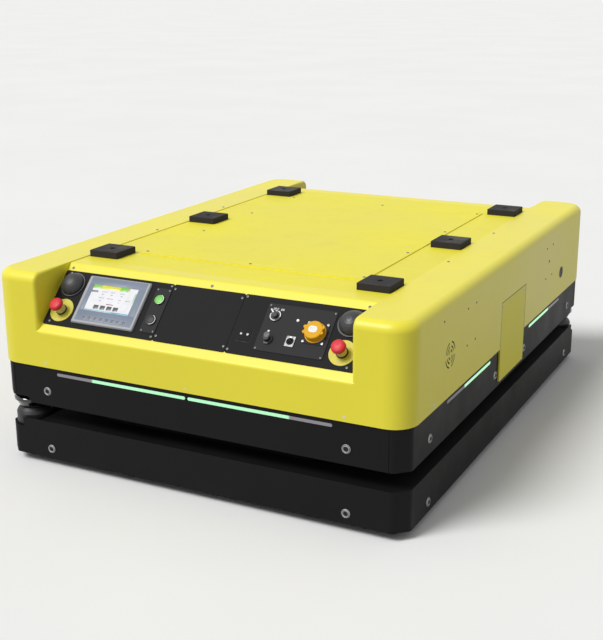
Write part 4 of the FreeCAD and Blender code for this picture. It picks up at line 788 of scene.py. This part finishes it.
panelScrewValues = dict(sheetScrew=(3.6, 1.7, 1.5, 1.0), plateScrew=(2.808, 1.326, 1.17, 1.0), insetX=21.0,
                        insetLow=10.7, insetHigh=8.0, seamInset=6.6, centreInset=6.75, centreLow=16.0,
                        centreHigh=15.0, plateInset=5.8, rearX=122.7)


def panelScrews():
    values = panelScrewValues
    low, high = spanOf("panel_left", frontSlope)
    sheets = [(side * x, s, high.z) for side in (-1, 1)
              for x in (-low.x - values["insetX"], -high.x + values["seamInset"])
              for s in (low.y + values["insetLow"], high.y - values["insetHigh"])]
    low, high = spanOf("panel_centre", frontSlope)
    sheets += [(side * (high.x - values["centreInset"]), s, high.z) for side in (-1, 1)
               for s in (low.y + values["centreLow"], high.y - values["centreHigh"])]
    plates = []
    inset = values["plateInset"]
    for node in ("button_plate", "connector_plate"):
        low, high = spanOf(node, frontSlope)
        plates += [(x, s, high.z) for x in (low.x + inset, high.x - inset) for s in (low.y + inset,
                                                                                     high.y - inset)]
    bm = bmesh.new()
    for i, (x, s, z) in enumerate(sheets + plates):
        size = values["sheetScrew" if i < len(sheets) else "plateScrew"]
        socketScrew(bm, at(frontSlope, x, s, z, 0.4 * i), size)
    low, high = spanOf("panel_rear", rearSlope)
    for side in (-1, 1):
        for x in (high.x - values["insetX"], values["rearX"]):
            for s in (low.y + values["insetLow"], high.y - values["insetHigh"]):
                socketScrew(bm, at(rearSlope, side * x, s, high.z, 0.3 * x), values["sheetScrew"])
    pieceOf("panelScrews", bm, ["screwZinc", "socketShade"])


lipScrewValues = dict(screw=(4.4, 2.0, 2.0, 1.2), above=11.0, reach=480.0)


def lipScrews():
    # in the cover, over the upper edge of the panels
    values = lipScrewValues
    bm = bmesh.new()
    level = spanOf("panel_centre", frontSlope)[1].y + values["above"]
    for slope in (frontSlope, rearSlope):
        for x in (-values["reach"], 0.0, values["reach"]):
            socketScrew(bm, at(slope, x, level, 0.0, 0.7), values["screw"])
    pieceOf("lipScrews", bm, ["screwZinc", "socketShade"])


coverScrewValues = dict(endScrew=(5.6, 0.9, 1.7, 0.5), sideScrew=(5.6, 0.99, 1.7, 0.6),
                        hatchScrew=(3.8, 1.3, 1.6, 0.7), endProud=0.05, lowZ=13.0, endX=480.0, sideY=695.0,
                        hatchInsetY=12.0, hatchLowZ=11.5, hatchTopZ=14.3)


def coverScrews():
    # round the cover's foot, where those in the end walls lie flush, and in the side hatches
    values = coverScrewValues
    bm = bmesh.new()
    low, high = spanOf("body_cover", upright)
    foot = low.z + values["lowZ"]
    flush = high.y - values["endScrew"][1] + values["endProud"]
    for wall in endWalls.values():
        for x in (-values["endX"], 0.0, values["endX"]):
            socketScrew(bm, at(wall, x, foot, flush), values["endScrew"], domed=False)
    hatchLow, hatchHigh = spanOf("side_hatch_right", upright)
    reach = hatchHigh.y - values["hatchInsetY"]
    for wall in sideWalls.values():
        for y in (-values["sideY"], values["sideY"]):
            socketScrew(bm, at(wall, y, foot, high.x - seat), values["sideScrew"])
        for y in (-reach, reach):
            for z in (hatchLow.z + values["hatchLowZ"], hatchHigh.z - values["hatchTopZ"]):
                socketScrew(bm, at(wall, y, z, high.x - seat, 0.5), values["hatchScrew"])
    pieceOf("coverScrews", bm, ["bolt", "socketShade"])


sideFittings = dict(screw=(3.2, 1.2, 1.4, 0.7), plug=((4.6, 0), (4.6, 0.7), (3.4, 1.2), (1.4, 1.3)),
                    groups=(((-443.0, -373.0), (420.7, 527.5)), ((363.0, 439.0), (421.0, 526.0))),
                    single=(-633.5, 541.7), plugAt=(396.0, 475.6))


def sideScrews():
    # screws of the brackets held inside the side walls, and a plug among the rear four
    values = sideFittings
    bm = bmesh.new()
    face = spanOf("body_cover", upright)[1].x - seat
    spots = [(y, z) for along, levels in values["groups"] for y in along for z in levels] + [values["single"]]
    for side, wall in sideWalls.items():
        for i, (y, z) in enumerate(spots):
            socketScrew(bm, at(wall, side * y, z, face, 0.6 * i), values["screw"])
        y, z = values["plugAt"]
        lathe(bm, at(wall, side * y, z, face), values["plug"], 24, 1)
    pieceOf("sideScrews", bm, ["boltDark", "grommet"])


deckScrewValues = dict(screw=(4.6, 2.2, 2.0, 1.3), x=365.0, rows=(-492.0, -164.0, 164.0, 492.0), endY=495.0,
                       railX=515.0, railY=216.0)


def deckScrews():
    # along the lid's edges and on the rails
    values = deckScrewValues
    bm = bmesh.new()
    top = spanOf("lid_plate", upright)[1].z
    rail = spanOf("body_cover", upright)[1].z
    spots = [(side * values["x"], y, top) for side in (-1, 1) for y in values["rows"]]
    spots += [(0.0, -values["endY"], top), (0.0, values["endY"], top)]
    spots += [(side * values["railX"], y, rail) for side in (-1, 1) for y in (-values["railY"],
                                                                              values["railY"])]
    for i, (x, y, z) in enumerate(spots):
        socketScrew(bm, at(upright, x, y, z - seat, 0.9 * i), values["screw"])
    pieceOf("deckScrews", bm, ["screwZinc", "socketShade"])


washerRims()
panelScrews()
lipScrews()
coverScrews()
sideScrews()
deckScrews()
print("screws placed")


# operator terminal: membrane, keys and the lit picture

printSeat = 0.05  # millimetres that a printed or thin piece starts inside its sheet
terminalValues = dict(left=11.5, right=9.5, low=9.5, top=4.6, proud=0.35, opening=1.2, tileProud=0.12)
keyValues = dict(count=8, row=-59.2, first=-63.7, step=19.4, halfX=6.6, halfY=6.4, rim=1.0, rimCorner=1.6,
                 corner=1.1, rimTop=0.25, top=0.6)
# finish, then left, right, low and top as shares of the screen
pictureTiles = [
    ("screenLeaf", 0.0, 0.19, 0.86, 1.0), ("screenYellow", 0.19, 0.615, 0.86, 1.0),
    ("screenGreen", 0.615, 0.77, 0.86, 1.0), ("screenOlive", 0.77, 0.82, 0.86, 1.0),
    ("screenLabel", 0.0, 0.147, 0.70, 0.775), ("screenRose", 0.436, 0.59, 0.285, 0.32),
    ("screenPale", 0.965, 1.0, 0.42, 0.84), ("screenSky", 0.62, 1.0, 0.0, 0.045),
    ("screenMist", 0.0, 0.62, 0.0, 0.045),
]
# finish, low and top, then left and width of each tile in the row
pictureRows = (
    ("screenTile", 0.08, 0.235, ((0.186, 0.11), (0.334, 0.11), (0.481, 0.11), (0.628, 0.11))),
    ("screenLine", 0.742, 0.772, ((0.23, 0.125), (0.43, 0.095), (0.643, 0.095))),
    ("screenLine", 0.5, 0.535, ((0.218, 0.127), (0.398, 0.15), (0.665, 0.055), (0.813, 0.107))),
    ("screenMark", 0.645, 0.675, ((0.25, 0.042), (0.453, 0.042), (0.676, 0.042))),
    ("screenMark", 0.398, 0.424, ((0.25, 0.042), (0.681, 0.02))),
)
pictureTiles += [(name, u, u + w, low, top) for name, low, top, row in pictureRows for u, w in row]


def terminalFace():
    values = terminalValues
    low, high = spanOf("hmi_housing", frontSlope)
    glassLow, glassHigh = spanOf("hmi_screen", frontSlope)
    left, right = low.x + values["left"], high.x - values["right"]
    bottom, top = low.y + values["low"], high.y - values["top"]
    openLeft, openRight = glassLow.x - values["opening"], glassHigh.x + values["opening"]
    openLow, openTop = glassLow.y - values["opening"], glassHigh.y + values["opening"]
    face = high.z + values["proud"]
    bm = bmesh.new()
    # four strips round the screen's opening, so the screen stays open
    for x0, x1, y0, y1 in ((left, right, openTop, top), (left, right, bottom, openLow),
                           (left, openLeft, openLow, openTop), (openRight, right, openLow, openTop)):
        tile(bm, frontSlope, x0, x1, y0, y1, high.z - seat, face, 0.2)
    pieceOf("terminalMembrane", bm, ["membrane"])
    keys = keyValues
    middle = (low + high) / 2
    bm = bmesh.new()
    for k in range(keys["count"]):
        spot = (middle.x + keys["first"] + k * keys["step"], middle.y + keys["row"])
        plate(bm, frontSlope, keys["halfX"], keys["halfY"], keys["rimCorner"], face - printSeat,
              face + keys["rimTop"], 0.1, 1, spot)
        plate(bm, frontSlope, keys["halfX"] - keys["rim"], keys["halfY"] - keys["rim"], keys["corner"],
              face + keys["rimTop"] - printSeat, face + keys["top"], 0.2, 0, spot)
    pieceOf("terminalKeys", bm, ["keyGrey", "keyRim"])
    names = sorted({name for name, *rest in pictureTiles})
    glass = glassHigh - glassLow
    bm = bmesh.new()
    for name, u0, u1, v0, v1 in pictureTiles:
        tile(bm, frontSlope, glassLow.x + u0 * glass.x, glassLow.x + u1 * glass.x, glassLow.y + v0 * glass.y,
             glassLow.y + v1 * glass.y, glassHigh.z - printSeat, glassHigh.z + values["tileProud"], 0.3,
             names.index(name))
    pieceOf("screenPicture", bm, names)


# push buttons: lens rings with bright outer rims, a painted highlight arc on each rim, and low domes on the caps

buttonValues = dict(lensInner=11.6, lensOuter=13.9, lensHigh=0.35, lensTop=0.5, rimOuter=15.1, rimWidth=0.8,
                    rimLow=-1.6, glintInner=13.7, glintOuter=14.9, glintHigh=0.75, glintArc=(-95.0, 75.0))
buttons = (("start", "start_button", "lensGreen", "start_green"), ("reset", "reset_button", "moulding",
                                                                   "reset_black"))


def buttonRings():
    values = buttonValues
    top = spanOf("button_bodies", frontSlope)[1].z
    inner, outer, lensTop = values["lensInner"], values["lensOuter"], values["lensTop"]
    lens = [(inner, -seat), (outer, -seat), (outer, values["lensHigh"]), (outer - 0.4, lensTop), (inner,
                                                                                                  lensTop)]
    outer, width = values["rimOuter"], values["rimWidth"]
    rim = [(outer - width, -0.2), (outer, values["rimLow"]), (outer, 0.15), (outer - width * 0.5, 0.4),
           (outer - width, 0.2)]
    # the glint is a painted highlight: a white arc over part of the rim
    inner, outer = values["glintInner"], values["glintOuter"]
    glint = [(inner, 0.0), (outer, 0.0), (outer, values["glintHigh"]), (inner, values["glintHigh"])]
    for name, node, finish, slot in buttons:
        middle = middleOf(node, frontSlope)
        place = at(frontSlope, middle.x, middle.y, top)
        bm = bmesh.new()
        ringLathe(bm, place, lens, 48, 0)
        ringLathe(bm, place, rim, 48, 1)
        lathe(bm, place, glint, 30, 2, arc=values["glintArc"])
        pieceOf(name + "Ring", bm, [finish, "boltDark", "markWhite"])


def buttonDomes():
    # these travel with the caps
    for name, node, finish, slot in buttons:
        low, high = spanOf(node, frontSlope)
        middle = (low + high) / 2
        reach = (high.x - low.x) / 2 - 0.2
        dome = [(reach - 0.2, -seat), (reach - 0.6, 0.1), (reach * 0.7, 0.42), (reach * 0.35, 0.6), (0.4,
                                                                                                     0.66)]
        bm = bmesh.new()
        lathe(bm, at(frontSlope, middle.x, middle.y, high.z), dome, 40)
        pieceOf(name + "Lens", bm, [finish], bodyOf(node))


# main switch: broken ring round the base and the words over it

switchValues = dict(ringInner=13.6, ringOuter=15.8, arcs=((-12.0, 72.0), (-200.0, -74.0), (84.0, 104.0)),
                    ringProud=0.2, words=(("OFF", -12.5), ("ON", 9.5)), wordY=18.2, letterHeight=5.6,
                    letterWidth=3.0, letterStep=5.5, stroke=1.0, wordProud=0.1)
letters = {
    "O": (((0, 0), (1, 0)), ((1, 0), (1, 1)), ((1, 1), (0, 1)), ((0, 1), (0, 0))),
    "F": (((0, 0), (0, 1)), ((0, 1), (1, 1)), ((0, 0.52), (0.8, 0.52))),
    "N": (((0, 0), (0, 1)), ((0, 1), (1, 0)), ((1, 0), (1, 1))),
}


def switchMarks():
    values = switchValues
    high = spanOf("switch_base", frontSlope)[1]
    inner, outer, proud = values["ringInner"], values["ringOuter"], values["ringProud"]
    profile = [(inner, -printSeat), (outer, -printSeat), (outer, proud), (inner, proud)]
    bm = bmesh.new()
    for arc in values["arcs"]:
        lathe(bm, at(frontSlope, switchMiddle.x, switchMiddle.y, high.z), profile, 24, arc=arc)
    sheetTop = spanOf("connector_plate", frontSlope)[1].z
    foot = switchMiddle.y + values["wordY"]
    for word, x in values["words"]:
        for letter in word:
            for strokes in letters[letter]:
                start, end = [(switchMiddle.x + x + px * values["letterWidth"],
                               foot + py * values["letterHeight"])
                              for px, py in strokes]
                bar(bm, frontSlope, start, end, values["stroke"], sheetTop - printSeat,
                    sheetTop + values["wordProud"])
            x += values["letterStep"]
    pieceOf("switchMarks", bm, ["markWhite"])


# supply socket: flange screws, and the label on the cap

socketValues = dict(screw=(4.0, 1.8, 1.5, 1.0), screwReach=28.0, flange=2.0)
labelValues = dict(halfX=12.5, halfY=9.5, corner=8.5, x=-1.0, y=1.0, proud=0.3, lineProud=0.36, stroke=1.1,
                   lines=((-5.5, 3.0, 5.0), (3.5, 3.0, 4.0), (-3.0, -0.6, 8.0), (-4.0, -4.0, 3.0), (3.0, -4.0,
                                                                                                    5.0)))


def socketFittings():
    values = socketValues
    middle = middleOf("power_socket", frontSlope)
    level = spanOf("connector_plate", frontSlope)[1].z + values["flange"]
    bm = bmesh.new()
    for i, (sx, sy) in enumerate(((1, 1), (1, -1), (-1, 1), (-1, -1))):
        x, y = middle.x + sx * values["screwReach"], middle.y + sy * values["screwReach"]
        socketScrew(bm, at(frontSlope, x, y, level, 0.5 * i), values["screw"])
    pieceOf("socketScrews", bm, ["brightMetal", "socketShade"])
    values = labelValues
    top = spanOf("socket_cap", frontSlope)[1].z
    x, y = middle.x + values["x"], middle.y + values["y"]
    bm = bmesh.new()
    plate(bm, frontSlope, values["halfX"], values["halfY"], values["corner"], top - seat,
          top + values["proud"],
          0.15, 0, (x, y), 8)
    for dx, dy, width in values["lines"]:
        bar(bm, frontSlope, (x + dx - width / 2, y + dy), (x + dx + width / 2, y + dy), values["stroke"],
            top + values["proud"] - printSeat, top + values["lineProud"], 1)
    pieceOf("capLabel", bm, ["markWhite", "markGrey"], bodyOf("socket_cap"))


# data socket, auxiliary socket, pilot lamp and fuse cover

socketsLow, socketsHigh = spanOf("panel_sockets", frontSlope)
plateHigh = spanOf("connector_plate", frontSlope)[1]
dataMiddle = Vector((socketsHigh.x - 13.0, (socketsLow.y + socketsHigh.y) / 2 + 0.5, 0))
dataValues = dict(screw=(2.1, 1.0, 0.9, 0.7), screwX=9.8, screwY=12.2, screwLevel=1.9,
                  tab=(-3.2, 3.2, 10.6, 14.4, 1.8, 3.4),  # left, right, low, high, base and top
                  shade=[(9.6, 2.0), (10.9, 2.0), (10.9, 2.7), (10.3, 3.0), (9.6, 2.6)])


def dataFittings():
    # two screws, a latch tab over the round mouth and a shade ring inside its rim
    values = dataValues
    bm = bmesh.new()
    for side in (-1, 1):
        socketScrew(bm, at(frontSlope, dataMiddle.x + side * values["screwX"],
                           dataMiddle.y + side * values["screwY"], plateHigh.z + values["screwLevel"]),
                    values["screw"])
    mouth = at(frontSlope, dataMiddle.x, dataMiddle.y, plateHigh.z)
    tile(bm, mouth, *values["tab"], 0.8)
    ringLathe(bm, mouth, values["shade"], 40, 1)
    pieceOf("dataFittings", bm, ["brightMetal", "boltDark"])


auxValues = dict(inset=13.0, capUp=3.5, cap=[(8.3, 0), (8.3, 0.5), (7.2, 0.9), (4.2, 0.95), (3.9, 0.5), (1.0,
                                                                                                         0.45)],
                 mark=(-10.5, -4.5, 20.0, 24.5, -printSeat, 0.5), latch=(-7.5, 5.0, -17.5, -13.5, -printSeat,
                                                                         5.5))


def auxFittings():
    values = auxValues
    x = socketsLow.x + values["inset"]
    bm = bmesh.new()
    lathe(bm, at(frontSlope, x, dataMiddle.y + values["capUp"], socketsHigh.z - seat), values["cap"], 36)
    place = at(frontSlope, x, dataMiddle.y, plateHigh.z)
    tile(bm, place, *values["mark"], 0.8, 1)
    tile(bm, place, *values["latch"], 1.4)
    pieceOf("auxFittings", bm, ["auxGrey", "markWhite"])


lampValues = dict(left=2.8, below=41.0, sunk=1.0, rim=[(4.2, 0.0), (5.3, 0.0), (5.0, 0.8), (4.2, 1.0)],
                  lens=[(3.9, 0), (3.9, 2.0), (3.2, 3.4), (1.9, 4.2), (0.5, 4.5)])


def pilotLamp():
    # between the switch and the supply socket, in its hole in the connector plate
    values = lampValues
    x, y = middleOf("connector_plate", frontSlope).x - values["left"], plateHigh.y - values["below"]
    bm = bmesh.new()
    ringLathe(bm, at(frontSlope, x, y, plateHigh.z - printSeat), values["rim"], 36, 1)
    lathe(bm, at(frontSlope, x, y, plateHigh.z - values["sunk"]), values["lens"], 36)
    pieceOf("pilotLamp", bm, ["lampWhite", "moulding"])


fuseValues = dict(x=156.5, y=61.5, half=21.5, corner=4.5, proud=1.3, screw=(3.6, 1.6, 1.4, 0.9), screwX=10.0,
                  shadeWidth=0.7, shadeCorner=5.0, shadeX=0.5, shadeY=-0.6, shadeTop=0.12)


def fuseCover():
    # screwed cover on the right panel, with a painted shadow round its foot
    values = fuseValues
    x, y, half = values["x"], values["y"], values["half"]
    level = spanOf("panel_right", frontSlope)[1].z
    top = level + values["proud"]
    wide = half + values["shadeWidth"]
    bm = bmesh.new()
    # painted shadow: a dark plate under the cover, set off to one side
    plate(bm, frontSlope, wide, wide, values["shadeCorner"], level - printSeat, level + values["shadeTop"],
          0.05, 1,
          (x + values["shadeX"], y + values["shadeY"]))
    plate(bm, frontSlope, half, half, values["corner"], level + 0.1, top, 0.35, 0, (x, y))
    for side in (-1, 1):
        place = at(frontSlope, x + side * values["screwX"], y, top, 0.3 * side)
        socketScrew(bm, place, values["screw"], metal=2)
    pieceOf("fuseCover", bm, ["panelBlack", "socketShade", "brightMetal"])


terminalFace()
buttonRings()
buttonDomes()
switchMarks()
socketFittings()
dataFittings()
auxFittings()
pilotLamp()
fuseCover()
print("controls dressed")


# grilles: cloth behind the slots in both side walls

clothValues = dict(radius=44.0, depth=6.6, edge=0.8, folds=10, pitch=4.0, foldLow=0.15, foldHigh=0.5)


def grilleCloth():
    values = clothValues
    radius, pitch = values["radius"], values["pitch"]
    # low folds give the cloth its relief
    folds = [(pitch * (k + 1),
              values["foldHigh"] if k % 2 else values["foldLow"]) for k in range(values["folds"])]
    profile = [(radius, -values["edge"]), (radius, 0.0)] + folds[::-1] + [(1.0, values["foldHigh"])]
    bm = bmesh.new()
    for side, wall in sideWalls.items():
        y, z = grilles[side]
        lathe(bm, at(wall, side * y, z, spanOf("body_cover", wall)[1].z - values["depth"]), profile, 40)
    pieceOf("grilleCloth", bm, ["speakerCone"])


# hatches: painted shade, dark strips in the gap round each side hatch

hatchGapShade = dict(width=2.4, proud=0.12, reach=1.6, depth=3.0)


def hatchGapShades():
    values = hatchGapShade
    width, reach = values["width"], values["reach"]
    for side, name in ((-1, "left"), (1, "right")):
        wall = sideWalls[side]
        low, high = spanOf("side_hatch_" + name, wall)
        coverLow = spanOf("body_cover", wall)[0].y
        left, right, top = low.x - reach, high.x + reach, high.y + reach
        bm = bmesh.new()
        # painted shade: dark strips along the top and both sides of the hatch gap
        for x0, x1, y0, y1 in ((left, right, top - width, top), (left, left + width, coverLow, top - width),
                               (right - width, right, coverLow, top - width)):
            tile(bm, wall, x0, x1, y0, y1, high.z - values["depth"], high.z + values["proud"], 0.3)
        pieceOf("hatchGapShade_" + name, bm, ["socketShade"])


grilleCloth()
hatchGapShades()


# running gear fasteners

gearValues = dict(hubScrews=5, hubRing=34.0, hubReach=14.0, hubScrew=(6.0, 4.0, 2.6, 2.2), nut=9.5,
                  nutHeight=6.0)


def faceDepth(node, wall, middle, radius, reach):
    # how far out the node's surface lies near one radius
    back = wall.inverted()
    points = [(back @ vertex.co) / mm for vertex in nodes[node].data.vertices]
    return max(point.z for point in points if abs(flatReach(point, middle) - radius) < reach)


def hubScrews():
    values = gearValues
    ring, count = values["hubRing"], values["hubScrews"]
    for side, name in ((-1, "left"), (1, "right")):
        node = "drive_wheel_" + name
        wall = sideWalls[side]
        middle = middleOf(node, wall)
        face = faceDepth(node, wall, middle, ring, values["hubReach"]) - seat
        bm = bmesh.new()
        for k in range(count):
            a = 2 * math.pi * k / count
            place = at(wall, middle.x + ring * math.cos(a), middle.y + ring * math.sin(a), face, a)
            socketScrew(bm, place, values["hubScrew"], domed=False)
        pieceOf("hubScrews_" + name, bm, ["zinc", "socketShade"], bodyOf(node))


def axleNuts():
    values = gearValues
    for corner in corners:
        node = "castor_fork_" + corner
        wheel = middleOf("castor_wheel_" + corner, upright)
        bm = bmesh.new()
        for side, wall in sideWalls.items():
            place = at(wall, side * wheel.y, wheel.z, spanOf(node, wall)[1].z - seat, 0.2)
            nut(bm, place, values["nut"], values["nutHeight"])
        pieceOf("axleNuts_" + corner, bm, ["zinc", "boltDark"], bodyOf(node))


hubScrews()
axleNuts()
print("running gear dressed")


# cabinet latches and battery lids

latchValues = dict(insetX=60.0, below=34.0, halfX=9.0, halfY=16.0, proud=2.2, knob=[(5.0, 2.0), (5.0, 4.6),
                                                                                    (4.2, 5.2)])
lidValues = dict(rows=(-200.0, 0.0, 200.0), halfX=42.0, halfY=60.0, rear=130.0, below=35.1, height=1.5)


def cabinetFittings():
    values = latchValues
    low, high = spanOf("control_cabinet", upright)
    bm = bmesh.new()
    for x in (low.x + values["insetX"], high.x - values["insetX"]):
        for end, y in ((-1, low.y), (1, high.y)):
            place = at(endWalls[end], -end * x, high.z - values["below"], end * y)
            plate(bm, place, values["halfX"], values["halfY"], 2.0, -seat, values["proud"], 0.5)
            lathe(bm, place, values["knob"], 24, 1)
    pieceOf("cabinetLatches", bm, ["zinc", "boltDark"])
    values = lidValues
    low, high = spanOf("battery_pack", upright)
    y, base = (low.y + high.y) / 2 + values["rear"], high.z - values["below"]
    bm = bmesh.new()
    for x in values["rows"]:
        plate(bm, upright, values["halfX"], values["halfY"], 4.0, base, base + values["height"], 0.5, 0, (x,
                                                                                                          y))
    pieceOf("batteryLids", bm, ["batteryCase"])


cabinetFittings()


# floor, lights and camera

def eyeRays(tree):
    # one for a ray that the eye meets, straight, mirrored or through glass
    path = tree.nodes.new("ShaderNodeLightPath").outputs
    seen = mathNode(tree, "MAXIMUM", path["Is Camera Ray"], path["Is Glossy Ray"])
    return mathNode(tree, "MAXIMUM", seen, path["Is Transmission Ray"])


def mixShaders(tree, factor, first, second, target):
    mix = tree.nodes.new("ShaderNodeMixShader")
    for socket, source in zip(mix.inputs, (factor, first.outputs[0], second.outputs[0])):
        link(tree, source, socket)
    link(tree, mix.outputs[0], tree.nodes[target].inputs["Surface"])


floorValues = dict(reach=60.0, seen=((238, 238, 237), (241, 241, 240)), thrown=(150, 150, 150))


def makeFloor():
    values = floorValues
    material, tree, shader = newMaterial("paleFloor")
    tone = useGroup(tree, grainGroup, Grain_Size=60.0, Tone_Size=0.7).outputs["Tone"]
    # the eye meets the pale floor; the light that it throws back on the body is held lower
    pale = mixColour(tree, tone, *[colourOf(*shade) for shade in values["seen"]])
    link(tree, mixColour(tree, eyeRays(tree), colourOf(*values["thrown"]), pale), shader.inputs["Base Color"])
    setInputs(shader, Roughness=0.9, Specular_IOR_Level=0.1)
    # seen from below, the floor lets the underside show
    below = tree.nodes.new("ShaderNodeNewGeometry").outputs["Backfacing"]
    mixShaders(tree, below, shader, tree.nodes.new("ShaderNodeBsdfTransparent"), "Material Output")
    reach = values["reach"]
    bm = bmesh.new()
    bm.faces.new([bm.verts.new((x * reach, y * reach, 0.0)) for x, y in ((-1, -1), (1, -1), (1, 1), (-1, 1))])
    mesh = bpy.data.meshes.new("floor")
    bm.to_mesh(mesh)
    bm.free()
    mesh.materials.append(material)
    floor = bpy.data.objects.new("floor", mesh)
    bpy.context.scene.collection.objects.link(floor)


lightValues = dict(toSun=(-0.25, -0.42, 0.58), strength=2.4, angle=26.0, world=0.42, backdrop=0.88)


def makeLights():
    values = lightValues
    data = bpy.data.lights.new("key", "SUN")
    data.energy = values["strength"]
    data.angle = math.radians(values["angle"])
    lamp = bpy.data.objects.new("key", data)
    lamp.location = Vector(values["toSun"]) * 8
    lamp.rotation_euler = Vector(values["toSun"]).to_track_quat("Z", "Y").to_euler()
    bpy.context.scene.collection.objects.link(lamp)
    world = bpy.data.worlds.new("studio")
    world.use_nodes = True
    tree = world.node_tree
    light = tree.nodes["Background"]
    setInputs(light, Color=(1.0, 1.0, 1.0, 1.0), Strength=values["world"])
    backdrop = tree.nodes.new("ShaderNodeBackground")
    setInputs(backdrop, Color=(values["backdrop"],) * 3 + (1.0,))
    mixShaders(tree, eyeRays(tree), light, backdrop, "World Output")
    bpy.context.scene.world = world


cameraValues = dict(place=(1.6223, -3.3427, 1.4080), turn=27.05, down=16.77, roll=-0.31, lens=64.29)


def makeCamera():
    values = cameraValues
    data = bpy.data.cameras.new("camera")
    data.lens = values["lens"]
    data.sensor_width = 36.0
    data.clip_end = 200.0
    camera = bpy.data.objects.new("camera", data)
    turn = (Matrix.Rotation(math.radians(values["turn"]), 4, "Z")
            @ Matrix.Rotation(math.radians(90.0 - values["down"]), 4, "X")
            @ Matrix.Rotation(math.radians(values["roll"]), 4, "Z"))
    camera.matrix_world = Matrix.Translation(values["place"]) @ turn
    bpy.context.scene.collection.objects.link(camera)
    bpy.context.scene.camera = camera


makeFloor()
makeLights()
makeCamera()
bpy.context.scene.view_settings.view_transform = "Standard"
print("stage, lights and camera set")
